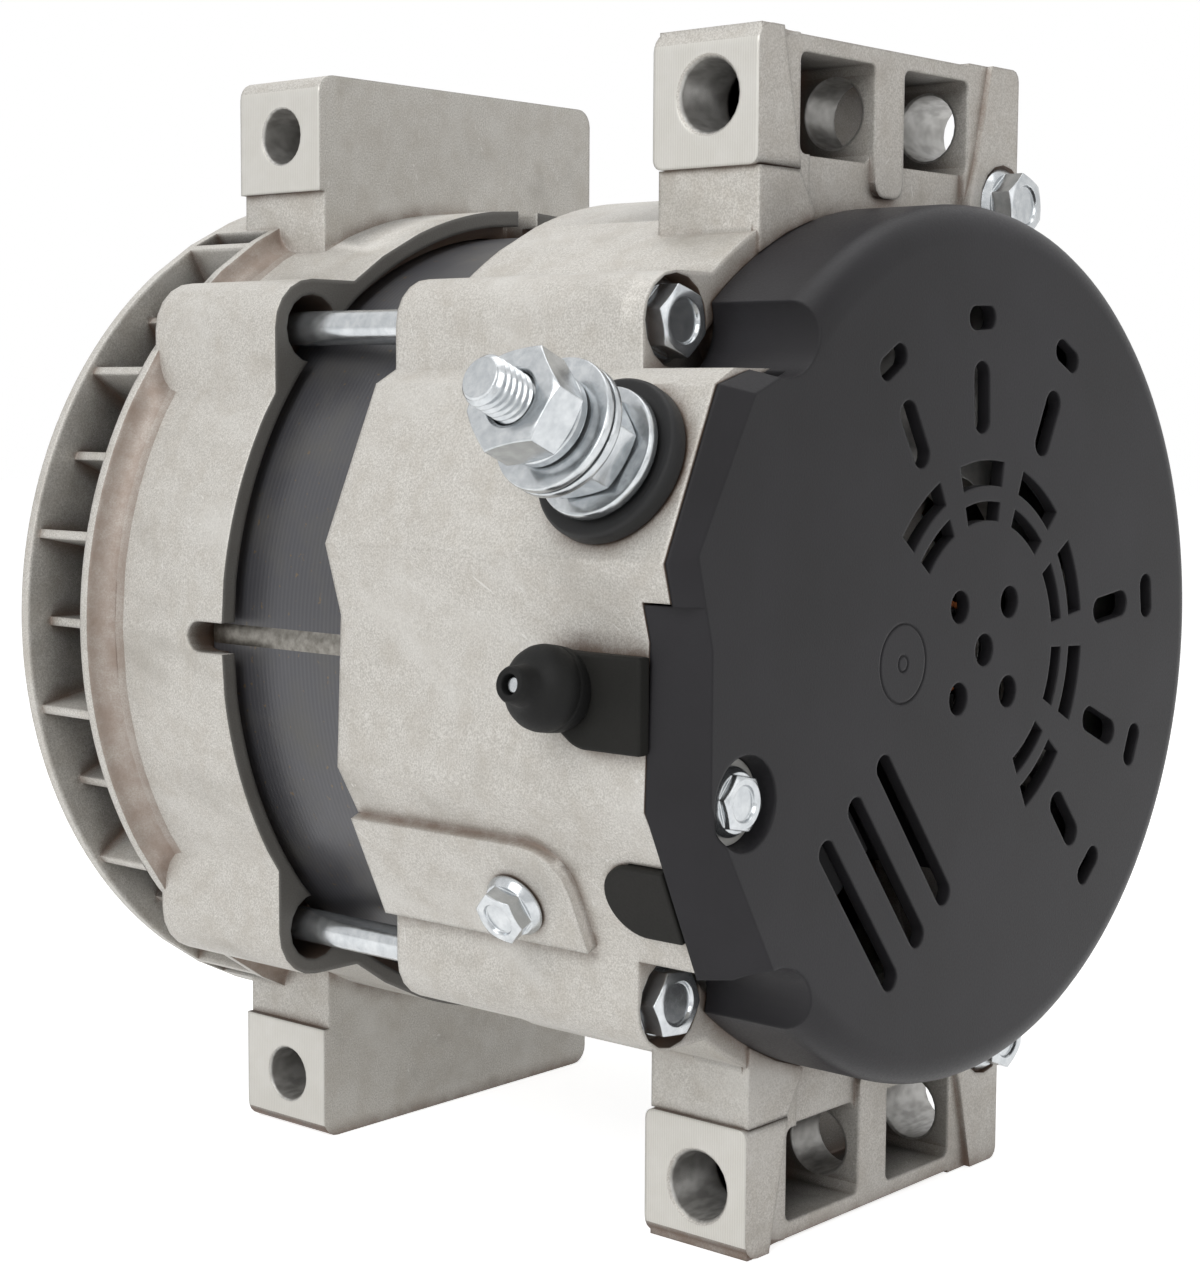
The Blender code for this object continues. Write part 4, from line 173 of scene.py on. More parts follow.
def rounded_normal(tree, radius, samples=6):
    """Normal that reads the edges as rounded."""
    return add_node(tree, "ShaderNodeBevel", {"Radius": radius}, samples=samples).outputs["Normal"]


def bumped(tree, height, strength, distance, normal=None):
    """Normal raised by a height, over another normal where one is given."""
    inputs = {"Height": height, "Strength": strength, "Distance": distance}
    if normal is not None:
        inputs["Normal"] = normal
    return add_node(tree, "ShaderNodeBump", inputs).outputs["Normal"]


def dress(tree, shader, colour, rough, normal):
    """Links the three layers that every material has."""
    tree.links.new(colour, shader.inputs["Base Color"])
    tree.links.new(rough, shader.inputs["Roughness"])
    tree.links.new(normal, shader.inputs["Normal"])


print("cast grey", linear("#C6C0B7"))

# %% [markdown]
# ## Die-cast aluminium
# Both end housings are pressure die castings. The skin is slightly rough, with grains of about a
# third of a millimetre, soft darker clouds and short bright scratches. The die's own fillets round
# the corners, which the shader's bevel gives without extra faces. Shade is painted into the colour:
# one occlusion node paints a warm brown shade into the corners, a wider one paints dark shade into
# the deep pockets, and the faces towards the rear and the channel behind the rim get painted shade
# too. The pad faces are milled flat, with tool marks half a millimetre apart.

# %% Masks for the castings
def masked(tree, first, *others):
    """Product of several masks."""
    for other in others:
        first = calculate(tree, "MULTIPLY", first, other)
    return first


def window(tree, value, low, high, soft):
    """One between two limits, fading to zero over a soft edge outside them."""
    rise = spread(tree, value, low - soft, low)
    fall = spread(tree, value, high, high + soft, 1.0, 0.0)
    return masked(tree, rise, fall)


def stretched(tree, place, turn, stretch):
    """Coordinates turned about the shaft's own direction and squeezed along one of them."""
    mapping = add_node(tree, "ShaderNodeMapping", {"Vector": place}, vector_type="TEXTURE")
    mapping.inputs["Rotation"].default_value = (math.radians(turn), 0.0, math.radians(turn / 2))
    mapping.inputs["Scale"].default_value = (1.0, stretch, 1.0)
    return mapping.outputs[0]


def scratches(tree, place, turn, size):
    """Sparse thin lines, as short handling scratches."""
    line = noise(tree, stretched(tree, place, turn, 14.0), size, 1.0, 0.4)
    thin = spread(tree, line, 0.735, 0.78, 0.0, 0.7)
    where = spread(tree, noise(tree, place, 0.016, 1.0), 0.52, 0.62)
    return masked(tree, thin, where)


# %% Cast aluminium layers
RING_FACE = station(0.1040)
CHANNEL_NEAR = station(0.1306)
CHANNEL_FAR = station(0.1357)
CHANNEL_RADIUS = 0.0822
# Depth up to which the faces towards the rear get a faint painted shade.
REAR_SHADE_END = station(0.0450)
LUG_HOLE_HEIGHT = 0.0900
REAR_HOLE = (0.0310, 0.0063)
FRONT_HOLE = (0.1335, 0.0055)
MILLED_SIDE = -0.0363
PAD_HEIGHT = 0.0780
GRAIN = 0.0003
HAIR = 0.0002


def cast_skin(tree, place, grain, patch):
    """Grainy skin with clouds and short bright scratches."""
    cloud = noise(tree, stretched(tree, place, 20, 2.5), 0.014, 3.0, 0.55)
    colour = blend_colours(tree, spread(tree, grain, 0.36, 0.64), linear("#B7B3AC"), linear("#DAD7D1"))
    colour = layered(tree, colour, (spread(tree, patch, 0.45, 0.75, 0.0, 0.5), "#B4ADA2"),
                     (spread(tree, cloud, 0.56, 0.74, 0.0, 0.42), "#969188"),
                     (spread(tree, cloud, 0.46, 0.3, 0.0, 0.5), "#DAD8D3"))
    for turn in (35, 75, 130):
        colour = layered(tree, colour, (scratches(tree, place, turn, 0.0007), "#E3E1DD"))
    return colour


def channel_layer(tree, place, split, facing, patch):
    """Painted brown shade on the channel behind the drive end's rim."""
    flat = add_node(tree, "ShaderNodeVectorMath", {0: place, 1: (1.0, 0.0, 1.0)}, operation="MULTIPLY")
    radius = add_node(tree, "ShaderNodeVectorMath", {0: flat.outputs[0]}, operation="LENGTH")
    inside = calculate(tree, "LESS_THAN", radius.outputs["Value"], CHANNEL_RADIUS)
    channel = window(tree, split["Y"], CHANNEL_NEAR, CHANNEL_FAR, 0.0008)
    # Painted shade: only the faces leaning towards the rear get the brown, in patches of varied strength.
    leaning = spread(tree, facing["Y"], -0.08, -0.2)
    patchy_strength = spread(tree, patch, 0.25, 0.75, 0.5, 0.95)
    return masked(tree, channel, inside, leaning, patchy_strength), "#8D7B6F"


def recess_layers(tree, patch):
    """Painted shade: dark in the deep pockets and warm brown in the corners."""
    wide = add_node(tree, "ShaderNodeAmbientOcclusion", {"Distance": 0.022}, samples=8)
    near = add_node(tree, "ShaderNodeAmbientOcclusion", {"Distance": 0.0045}, samples=8)
    # Painted shade: occlusion darkens the deep pockets and lays a warm brown into the corners.
    deep = spread(tree, wide.outputs["AO"], 0.24, 0.48, 0.97, 0.0)
    corner = spread(tree, near.outputs["AO"], 0.42, 0.86, 0.95, 0.0)
    warm_corner_shade = masked(tree, corner, spread(tree, patch, 0.25, 0.6, 0.45, 1.0))
    return (deep, "#444240"), (warm_corner_shade, "#6E5849")


def rearward_layers(tree, split, facing):
    """Faint painted shade on rear faces near the rear, and dark painted shade on the ring's end face."""
    # Painted shade: faces towards the rear near the rear are darkened a little, the ring's end face much
    # more.
    rearward = calculate(tree, "LESS_THAN", facing["Y"], -0.9)
    in_rear_part = calculate(tree, "LESS_THAN", split["Y"], REAR_SHADE_END)
    end_face = window(tree, split["Y"], RING_FACE - 2 * HAIR, RING_FACE + 2 * HAIR, HAIR)
    return ((masked(tree, in_rear_part, rearward, 0.16), "#93857A"),
            (masked(tree, rearward, end_face, 0.85), "#55534F"))


def lug_bore(tree, split, depth, reach):
    """Mask of the walls of the two lug holes at one depth."""
    along = calculate(tree, "SUBTRACT", split["Y"], station(depth))
    up = calculate(tree, "SUBTRACT", calculate(tree, "ABSOLUTE", split["Z"]), LUG_HOLE_HEIGHT)
    apart = calculate(tree, "ADD", masked(tree, along, along), masked(tree, up, up))
    return spread(tree, calculate(tree, "SQRT", apart), reach, reach - HAIR)


def bored_metal(tree, place):
    """Streaky metal of a drilled wall."""
    gleam = noise(tree, stretched(tree, place, 0, 0.3), 0.003, 1.0, 0.5)
    return blend_colours(tree, spread(tree, gleam, 0.35, 0.65), linear("#A5A3A0"), linear("#C9C8C5"))


def milled_pads(tree, split, facing):
    """Mask of the four milled pad faces."""
    milled = calculate(tree, "LESS_THAN", split["X"], MILLED_SIDE)
    far = calculate(tree, "GREATER_THAN", calculate(tree, "ABSOLUTE", split["Z"]), PAD_HEIGHT)
    return masked(tree, milled, far, calculate(tree, "LESS_THAN", facing["X"], -0.95))


# %% Cast aluminium material
def cast_aluminium():
    """Die-cast skin with painted shade in the recesses, drilled in the lugs and milled on the pads."""
    material, tree, shader, place = start_material("die_cast_aluminium", 0.3, 0.5)
    grain = noise(tree, place, GRAIN, 3.0, 0.6)
    patch = noise(tree, place, 0.005, 4.0, 0.6)
    split = add_node(tree, "ShaderNodeSeparateXYZ", {0: place}).outputs
    normal = add_node(tree, "ShaderNodeNewGeometry").outputs["True Normal"]
    facing = add_node(tree, "ShaderNodeSeparateXYZ", {0: normal}).outputs
    # The skin gets painted shade from the channel, recess and rearward layers.
    colour = layered(tree, cast_skin(tree, place, grain, patch),
                     channel_layer(tree, place, split, facing, patch),
                     *recess_layers(tree, patch), *rearward_layers(tree, split, facing))

    bored = calculate(tree, "MAXIMUM", lug_bore(tree, split, *REAR_HOLE), lug_bore(tree, split, *FRONT_HOLE))
    colour = blend_colours(tree, masked(tree, bored, 0.85), colour, bored_metal(tree, place))
    pad = milled_pads(tree, split, facing)
    strokes = bands(tree, place, 640.0, 1.2, 1.5)
    cut = blend_colours(tree, strokes, linear("#D0CDC6"), linear("#D9D7D0"))
    cut = layered(tree, cut, (spread(tree, patch, 0.4, 0.7, 0.0, 0.5), "#DFDDD8"))
    colour = blend_colours(tree, pad, colour, cut)

    height = blend_values(tree, pad, grain, masked(tree, strokes, 0.25))
    skin_normal = bumped(tree, height, 0.5, 0.00012, rounded_normal(tree, 0.0011, 8))
    rough = blend_values(tree, calculate(tree, "MAXIMUM", pad, bored), 0.52, 0.34)
    dress(tree, shader, colour, rough, skin_normal)
    tree.links.new(blend_values(tree, bored, 0.3, 0.5), shader.inputs["Metallic"])
    return material


CAST = cast_aluminium()
print("made", CAST.name)

# %% [markdown]
# ## Moulded black plastic and rubber
# The rear cover is injection moulded in glass-filled nylon. It is a dark neutral grey, and its
# satin surface gives one broad soft highlight along the rim. The relay arm and the plug are a
# duller nylon, the boot is soft rubber, and the stud's insulator is phenolic.

# %% Plastic and rubber materials
def moulded(name, dark, light, roughness, bevel, sheen=0.25):
    """Moulded polymer with a fine skin texture."""
    material, tree, shader, place = start_material(name, 0.0, roughness, 1.52)
    shader.inputs["Specular IOR Level"].default_value = sheen
    grain = noise(tree, place, 0.0004, 3.0, 0.6)
    cloud = noise(tree, place, 0.022, 3.0, 0.5)
    colour = blend_colours(tree, spread(tree, cloud, 0.35, 0.7), linear(dark), linear(light))
    rough = spread(tree, grain, 0.3, 0.7, roughness - 0.06, roughness + 0.06)
    dress(tree, shader, colour, rough, bumped(tree, grain, 0.35, 0.00008, rounded_normal(tree, bevel)))
    return material


PLASTIC = moulded("glass_filled_nylon", "#272628", "#2D2C2F", 0.44, 0.0006, 0.17)
RUBBER = moulded("black_rubber", "#1B1B1B", "#232322", 0.55, 0.0005, 0.14)
MATT_NYLON = moulded("matt_nylon", "#21211F", "#292826", 0.6, 0.0006, 0.12)
PHENOLIC = moulded("dark_phenolic", "#272728", "#303030", 0.5, 0.0006, 0.2)
CARBON = moulded("pressed_carbon", "#2B2A2A", "#3A3938", 0.6, 0.0002)
print("made", PLASTIC.name, RUBBER.name, MATT_NYLON.name, PHENOLIC.name, CARBON.name)

# %% [markdown]
# ## Metals with a machined or plated finish
# The bolts, nuts and washers are zinc plated: bright and slightly blue, with a faint cloudiness.
# Turned steel is darker, copper is enamelled and brownish, and the pole iron is dull.

# %% Plated and turned metals
def bright_metal(name, dark, light, roughness, patch_size, bevel, bump_height=0.00002, metallic=1.0):
    """Metal whose plating or turning varies a little in tone and gloss."""
    material, tree, shader, place = start_material(name, metallic, roughness)
    patch = noise(tree, place, patch_size, 3.0, 0.6)
    fine = noise(tree, place, patch_size / 6, 2.0, 0.5)
    colour = blend_colours(tree, spread(tree, patch, 0.35, 0.7), linear(dark), linear(light))
    rough = spread(tree, patch, 0.3, 0.7, roughness - 0.03, roughness + 0.04)
    dress(tree, shader, colour, rough, bumped(tree, fine, 0.3, bump_height, rounded_normal(tree, bevel)))
    return material


ZINC = bright_metal("zinc_plated_steel", "#B6BABD", "#CED1D3", 0.2, 0.0022, 0.0003, 0.000006, 0.86)
STEEL = bright_metal("turned_steel", "#8E8D8B", "#B4B2AF", 0.3, 0.002, 0.0003)
COPPER = bright_metal("enamelled_copper", "#8A4A2A", "#B8713F", 0.35, 0.002, 0.0003)
POLE_IRON = bright_metal("forged_pole_iron", "#55524F", "#74706B", 0.5, 0.004, 0.0004)
SHEET = bright_metal("pressed_aluminium", "#A9A8A5", "#C4C2BE", 0.4, 0.003, 0.0003)
MATT_SHEET = bright_metal("tumbled_aluminium", "#B4B3AF", "#C2C1BD", 0.5, 0.002, 0.0002, 0.00002, 0.35)
print("made", ZINC.name, STEEL.name, COPPER.name, POLE_IRON.name, SHEET.name, MATT_SHEET.name)

# %% [markdown]
# ## The laminated core
# The stator core is a stack of thin steel rings, dipped in black lacquer. The joints between them
# stay visible as fine lines, drawn one millimetre apart, though real sheets are thinner.

# %% Lacquered core material
def lacquered_core():
    """Black lacquer over a stack of rings."""
    material, tree, shader, place = start_material("lacquered_laminations", 0.25, 0.38)
    rings = bands(tree, place, 320.0, 0.6, 0.6)
    cloud = noise(tree, place, 0.012, 4.0, 0.6)
    flecks = noise(tree, place, 0.0012, 2.0, 0.5)
    lines = spread(tree, rings, 0.2, 1.0, 0.0, 0.55)
    colour = blend_colours(tree, lines, linear("#4C4C50"), linear("#59595C"))
    colour = layered(tree, colour, (spread(tree, cloud, 0.45, 0.75, 0.0, 0.5), "#605E58"),
                     (spread(tree, flecks, 0.68, 0.74), "#6E5F4C"))
    rough = spread(tree, cloud, 0.3, 0.7, 0.3, 0.45)
    dress(tree, shader, colour, rough, bumped(tree, rings, 0.25, 0.00004))
    return material


CORE = lacquered_core()
print("made", CORE.name)

# %% [markdown]
# ## Mesh helpers
# A piece is built in a bmesh, moved to its place, and turned into an object that stands at the
# origin. Round parts are spun from a profile, and a hex part is a hexagon bar cut by a turned form,
# as a real nut is. Cutters run a little past the faces that they cut.

# %% Outline helpers
OVERRUN = 0.0020
VENT_END = 0.0060


def on_ring(radius, angle):
    """Point at an angle on a circle round zero."""
    turn = math.radians(angle)
    return radius * math.cos(turn), radius * math.sin(turn)


def bend(x, y, radius, start, end, steps=14):
    """Points along an arc."""
    turns = [start + (end - start) * step / steps for step in range(steps + 1)]
    return [(x + right, y + up) for right, up in [on_ring(radius, turn) for turn in turns]]


def corner_radius(across):
    """Radius over the corners of a hexagon."""
    return across / 2 / math.cos(math.pi / 6)


def chain(bm, profile, closed):
    """Edges through (radius, height) points."""
    points = [bm.verts.new((radius, 0.0, height)) for radius, height in profile]
    followers = points[1:] + points[:1] if closed else points[1:]
    for first, second in zip(points, followers):
        bm.edges.new((first, second))


def swept(bm, steps, turn=math.tau, rise=0.0, merge=False):
    """Sweeps the edges round local z, with a rise over the whole sweep."""
    bmesh.ops.spin(bm, geom=bm.verts[:] + bm.edges[:], cent=(0, 0, 0), axis=(0, 0, 1),
                   dvec=(0, 0, rise / steps), angle=turn, steps=steps, use_merge=merge, use_duplicate=False)


def turned_out(bm):
    """Turns the faces outward."""
    bmesh.ops.recalc_face_normals(bm, faces=bm.faces[:])
    return bm


def filled(bm):
    """Closes the open ends."""
    bmesh.ops.holes_fill(bm, edges=[edge for edge in bm.edges if edge.is_boundary], sides=0)
    return turned_out(bm)


def pushed(bm, shift):
    """Solid of a flat face that is pushed along a vector."""
    grown = bmesh.ops.extrude_face_region(bm, geom=bm.faces[:])
    ends = [item for item in grown["geom"] if isinstance(item, bmesh.types.BMVert)]
    bmesh.ops.translate(bm, verts=ends, vec=shift)
    return turned_out(bm)


# %% Solid helpers
def spun(profile, steps=96):
    """Solid of revolution around local z from (radius, height) points."""
    bm = bmesh.new()
    chain(bm, profile, profile[0][0] > 0.0)
    swept(bm, steps, merge=True)
    bmesh.ops.remove_doubles(bm, verts=bm.verts[:], dist=0.000001)
    return turned_out(bm)


def flat_ring(bm, points, depth):
    """Closed ring of edges through (x, z) points at a depth."""
    ring = [bm.verts.new((x, station(depth), z)) for x, z in points]
    return [bm.edges.new((ring[index - 1], ring[index])) for index in range(len(ring))]


def loft(first, near, second, far):
    """Solid between two outlines of as many points."""
    bm = bmesh.new()
    edges = flat_ring(bm, first, near) + flat_ring(bm, second, far)
    bmesh.ops.bridge_loops(bm, edges=edges)
    return filled(bm)


def arc_vent(inner, outer, start, end, near=-OVERRUN, far=VENT_END):
    """Slot bent round the shaft."""
    points = bend(0, 0, outer, start, end, 10) + bend(0, 0, inner, end, start, 10)
    return loft(points, near, points, far)


def hex_bar(across, low, high, turn=0.0):
    """Hexagon bar along local z."""
    bm = bmesh.new()
    ring = bmesh.ops.create_circle(bm, cap_ends=True, segments=6, radius=corner_radius(across))
    spin = Matrix.Rotation(math.radians(turn), 3, "Z")
    bmesh.ops.rotate(bm, verts=ring["verts"], cent=(0, 0, 0), matrix=spin)
    bmesh.ops.translate(bm, verts=ring["verts"], vec=(0, 0, low))
    return pushed(bm, (0, 0, high - low))


# %% Object helpers
def linked(name, data):
    """Object of some data, put into the scene."""
    item = bpy.data.objects.new(name, data)
    bpy.context.scene.collection.objects.link(item)
    return item


def mesh_object(name, bm):
    """Object of a bmesh."""
    mesh = bpy.data.meshes.new(name)
    bm.to_mesh(mesh)
    bm.free()
    return linked(name, mesh)


def carve(bm, tool_bm, operation):
    """Boolean of two bmeshes, as a new bmesh."""
    target = mesh_object("draft", bm)
    tool = mesh_object("draft", tool_bm)
    step = target.modifiers.new("carve", "BOOLEAN")
    step.operation = operation
    step.solver = "EXACT"
    step.object = tool
    made = target.evaluated_get(bpy.context.evaluated_depsgraph_get()).to_mesh()
    result = bmesh.new()
    result.from_mesh(made)
    for item in (target, tool):
        bpy.data.objects.remove(item)
    bmesh.ops.remove_doubles(result, verts=result.verts[:], dist=0.000002)
    return result


def together(*parts):
    """Several bmeshes in one."""
    whole = bmesh.new()
    for part in parts:
        mesh = bpy.data.meshes.new("part")
        part.to_mesh(mesh)
        part.free()
        whole.from_mesh(mesh)
        bpy.data.meshes.remove(mesh)
    return whole


def piece(name, bm, place, material, body="housing", nodes=(), sharp=30.0, bevel=0.0):
    """Finished object of a bmesh, smooth except at edges sharper than the angle."""
    bmesh.ops.transform(bm, matrix=place, verts=bm.verts[:])
    item = mesh_object(name, bm)
    item.data.shade_smooth()
    item.data.set_sharp_from_angle(angle=math.radians(sharp))
    item.data.materials.append(material)
    if bevel:
        soft = item.modifiers.new("soft edges", "BEVEL")
        soft.width = bevel
        soft.segments = 2
        soft.limit_method = "ANGLE"
        soft.angle_limit = math.radians(sharp)
    level = item.modifiers.new("flat faces", "WEIGHTED_NORMAL")
    level.keep_sharp = True
    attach(item, body)
    if nodes:
        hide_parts(*nodes)
    print(name, len(item.data.polygons), "faces")


def zinc_piece(name, bm, place, node, body="housing", sharp=30.0):
    """Zinc-plated piece in the place of a CAD node."""
    piece(name, bm, place, ZINC, body, (node,), sharp)


# %% [markdown]
# ## Castings and inner parts from the CAD
# The CAD solids have the right forms, but arrive as loose triangles. Each one is copied, its
# doubles are merged, its flat faces are joined, and it is shaded smooth except at real edges. Long
# arcs get more points, so that rims read as round. The rear lugs' pads get a casting's rounded
# corners, and the drive end a window beside each left lug. The copy then stands in for its node.

# %% Finished copies of CAD nodes
TOUCH = 0.00002
INNERMOST_ARC = 0.0300
PAD_INNER_SIDE = -0.0230
PAD_ROUNDING = 0.0018
SHORTEST_PAD_EDGE = 0.0050
SHARP_EDGE = 28.0
IN_PLACE = Matrix.Identity(4)


def is_arc_step(edge):
    """Whether an edge is one straight step of an arc round the shaft."""
    first, second = [Vector((end.co.x, end.co.z)) for end in edge.verts]
    level = abs(edge.verts[0].co.y - edge.verts[1].co.y) < TOUCH
    outer = min(first.length, second.length) > INNERMOST_ARC and abs(first.length - second.length) < TOUCH
    simple = all(len(face.verts) == 4 or abs(face.normal.y) > 0.999 for face in edge.link_faces)
    return level and outer and simple and math.radians(4.0) < first.angle(second) < math.radians(9.0)


def rounded_rims(bm, cuts):
    """Puts more points on the straight steps that stand for arcs round the shaft."""
    rim = bm.verts.layers.float.new("rim")
    arcs = [edge for edge in bm.edges if is_arc_step(edge)]
    for edge in arcs:
        for end in edge.verts:
            end[rim] = math.hypot(edge.verts[0].co.x, edge.verts[0].co.z)
    bmesh.ops.subdivide_edges(bm, edges=arcs, cuts=cuts, use_grid_fill=True)
    for point in bm.verts:
        reach = math.hypot(point.co.x, point.co.z)
        if point[rim] * 0.99 < reach < point[rim]:
            point.co.x *= point[rim] / reach
            point.co.z *= point[rim] / reach
    bm.verts.layers.float.remove(rim)
    return len(arcs)


def rounded_pads(bm):
    """Rounds the four long corners of each mounting pad of the slip-ring end."""
    corners = []
    for edge in bm.edges:
        first, second = [end.co for end in edge.verts]
        run = second - first
        outside = max(first.x, second.x) < PAD_INNER_SIDE and min(abs(first.z), abs(second.z)) > PAD_HEIGHT
        if outside and run.length > SHORTEST_PAD_EDGE and abs(run.x) > 0.995 * run.length:
            if len(edge.link_faces) == 2 and edge.calc_face_angle_signed(0.0) > math.radians(80):
                corners.append(edge)
    bmesh.ops.bevel(bm, geom=corners, offset=PAD_ROUNDING, segments=5, profile=0.5, affect="EDGES")
    return len(corners)


def finished_copy(node, material, body="housing", rims=0, pads=False, cutter=None):
    """Merged and smoothed copy of a CAD node, in its place."""
    bm = bmesh.new()
    bm.from_mesh(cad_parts[node].data)
    bmesh.ops.remove_doubles(bm, verts=bm.verts[:], dist=0.000002)
    if cutter:
        bm = carve(bm, cutter, "DIFFERENCE")
    bmesh.ops.dissolve_limit(bm, angle_limit=math.radians(0.4), verts=bm.verts[:], edges=bm.edges[:])
    if pads:
        print(node, rounded_pads(bm), "pad corners rounded")
    if rims:
        print(node, rounded_rims(bm, rims), "arcs made rounder")
    piece("dressed_" + node, bm, IN_PLACE, material, body, (node,), SHARP_EDGE)


WINDOW_INNER = 0.0645
WINDOW_OUTER = 0.0830
WINDOW_NEAR = 0.1375
WINDOW_FAR = 0.1530
WINDOW_TURN = 4.0
beside_lugs = [arc_vent(WINDOW_INNER, WINDOW_OUTER, turn, turn + WINDOW_TURN, WINDOW_NEAR, WINDOW_FAR)
               for turn in (116.3, 239.7)]
finished_copy("slip_ring_end_housing", CAST, rims=3, pads=True)
finished_copy("drive_end_housing", CAST, rims=3, cutter=together(*beside_lugs))
for node_name in ("voltage_regulator", "brush_holder"):
    finished_copy(node_name, PLASTIC)
finished_copy("stator_core", CORE, rims=3)
finished_copy("stator_winding", COPPER)
for node_name in ("positive_heat_sink", "negative_heat_sink"):
    finished_copy(node_name, SHEET)
finished_copy("bearing_retainer", STEEL)
for node_name in ("claw_pole_front", "claw_pole_rear"):
    finished_copy(node_name, POLE_IRON, "rotor")
finished_copy("field_coil", COPPER, "rotor")
finished_copy("cooling_fan", SHEET, "rotor")

# %% [markdown]
# ## The rear cover
# The cover is one injection moulding: a shallow dome over the rectifier, with a flat-sided box on
# the left that reaches out to the housing's facets. The dome is spun, and the box is lofted from
# two outlines, because its flank leans outward to meet the casting. The vents, the screw's recess,
# the scallops around the bolts and the mould's round gate mark are cut from it.

# %% Cover outlines
COVER_WALL = 0.0024
DOME_RADIUS = 0.0736
DOME_FRONT = 0.0212
DOME_CURVE = 0.0060
BOX_LEFT = -0.0512
BOX_RIGHT = -0.0400
BOX_END = 0.0220
SIDE_BOTTOM = -0.0454
SIDE_TOP = 0.0462
BEYOND_LEFT = -0.0900
BEYOND_TOP = 0.0600
FLANK_STEP = 0.0115
REAR_POINTS = ((BOX_RIGHT, 0.0470), (BOX_LEFT, 0.0470), (-0.0633, 0.0422), (-0.0763, 0.0190),
               (-0.0728, 0.0050), (-0.0728, -0.0178), (-0.0563, -0.0462), (BOX_RIGHT, -0.0462))
FACET_POINTS = ((BOX_RIGHT, 0.0470), (-0.0560, 0.0470), (-0.0677, 0.0436), (-0.0793, 0.0179),
                (-0.0761, 0.0060), (-0.0770, -0.0190), (-0.0645, -0.0462), (BOX_RIGHT, -0.0462))


def shrunk(points, wall):
    """Outline of the box drawn in by a wall, open towards the dome."""
    return [(x + wall * (x < BOX_RIGHT), z - wall * (1 if z > 0 else -1)) for x, z in points]


def block(left, right, bottom, top, near, far):
    """Straight-sided cutter."""
    outline = ((left, bottom), (right, bottom), (right, top), (left, top))
    return loft(outline, near, outline, far)


def along_shaft(bm):
    """Turns a form made along local z so that local z is the depth."""
    bmesh.ops.transform(bm, matrix=front_frame(0.0), verts=bm.verts[:])
    return bm


def drum(radius, near, far, x=0.0, z=0.0, steps=64, flare=0.0):
    """Round cutter along the shaft, wider by the flare at its near end."""
    bm = along_shaft(spun([(0.0, near), (radius + flare, near), (radius, far), (0.0, far)], steps))
    bmesh.ops.translate(bm, verts=bm.verts[:], vec=(x, 0, z))
    return bm


def vent(x, z, length, width, angle):
    """Slot with round ends, cut through the rear face."""
    shift_x, shift_z = on_ring((length - width) / 2, angle)
    points = bend(x + shift_x, z + shift_z, width / 2, angle - 90, angle + 90, 12)
    points += bend(x - shift_x, z - shift_z, width / 2, angle + 105, angle + 255, 10)
    return loft(points, -OVERRUN, points, VENT_END)


# %% Cover body
def dome(radius, near, far, curve):
    """Dome with a rounded rim, its left side cut away for the box."""
    rim = bend(radius - curve, near + curve, curve, -90, 0, 8)
    inset = DOME_RADIUS - radius
    whole = along_shaft(spun([(0.0, near)] + rim + [(radius, far), (0.0, far)], 160))
    side = block(BEYOND_LEFT, BOX_LEFT + inset, SIDE_BOTTOM + inset, SIDE_TOP - inset, -OVERRUN,
                 far + OVERRUN)
    return carve(whole, side, "DIFFERENCE")


def flank(depth, bottom, top):
    """Leaning left side of the box, cut away between two heights."""
    unwanted = block(BEYOND_LEFT, 0.0, bottom, top, -OVERRUN, BOX_END)
    return carve(loft(REAR_POINTS, 0.0, FACET_POINTS, depth), unwanted, "DIFFERENCE")


BOLT_CIRCLE = 0.0770
BOLT_ANGLE = 43.8
BOLT_X, BOLT_Z = on_ring(BOLT_CIRCLE, BOLT_ANGLE)
HIGH_FLANK = 0.0037
DEEP_FLANK = 0.0090
SCALLOP_RADIUS = 0.0088
SCALLOP_FLOOR = 0.0140
SCALLOP_END = 0.0240


def scallops(radius, right_near):
    """Room for the four through bolts' heads, open to the rear on the left side only."""
    rooms = []
    for side_x, near in ((-1, -OVERRUN), (1, right_near)):
        for side_z in (-1, 1):
            rooms.append(drum(radius, near, SCALLOP_END, side_x * BOLT_X, side_z * BOLT_Z))
    return together(*rooms)


high_flank = flank(HIGH_FLANK, -BEYOND_TOP, FLANK_STEP)
deep_flank = flank(DEEP_FLANK, FLANK_STEP + 0.0001, BEYOND_TOP)
outer_form = carve(dome(DOME_RADIUS, 0.0, DOME_FRONT, DOME_CURVE), high_flank, "UNION")
outer_form = carve(outer_form, deep_flank, "UNION")
inner_outline = shrunk(REAR_POINTS, COVER_WALL)
inner_form = carve(dome(DOME_RADIUS - COVER_WALL, COVER_WALL, DOME_FRONT + 0.0010, DOME_CURVE - COVER_WALL),
                   loft(inner_outline, COVER_WALL, inner_outline, BOX_END), "UNION")
outer_form = carve(outer_form, scallops(SCALLOP_RADIUS, SCALLOP_FLOOR), "DIFFERENCE")
inner_scallops = scallops(SCALLOP_RADIUS + COVER_WALL, SCALLOP_FLOOR - COVER_WALL)
inner_form = carve(inner_form, inner_scallops, "DIFFERENCE")
cover = carve(outer_form, inner_form, "DIFFERENCE")
print("cover body has", len(cover.faces), "faces")

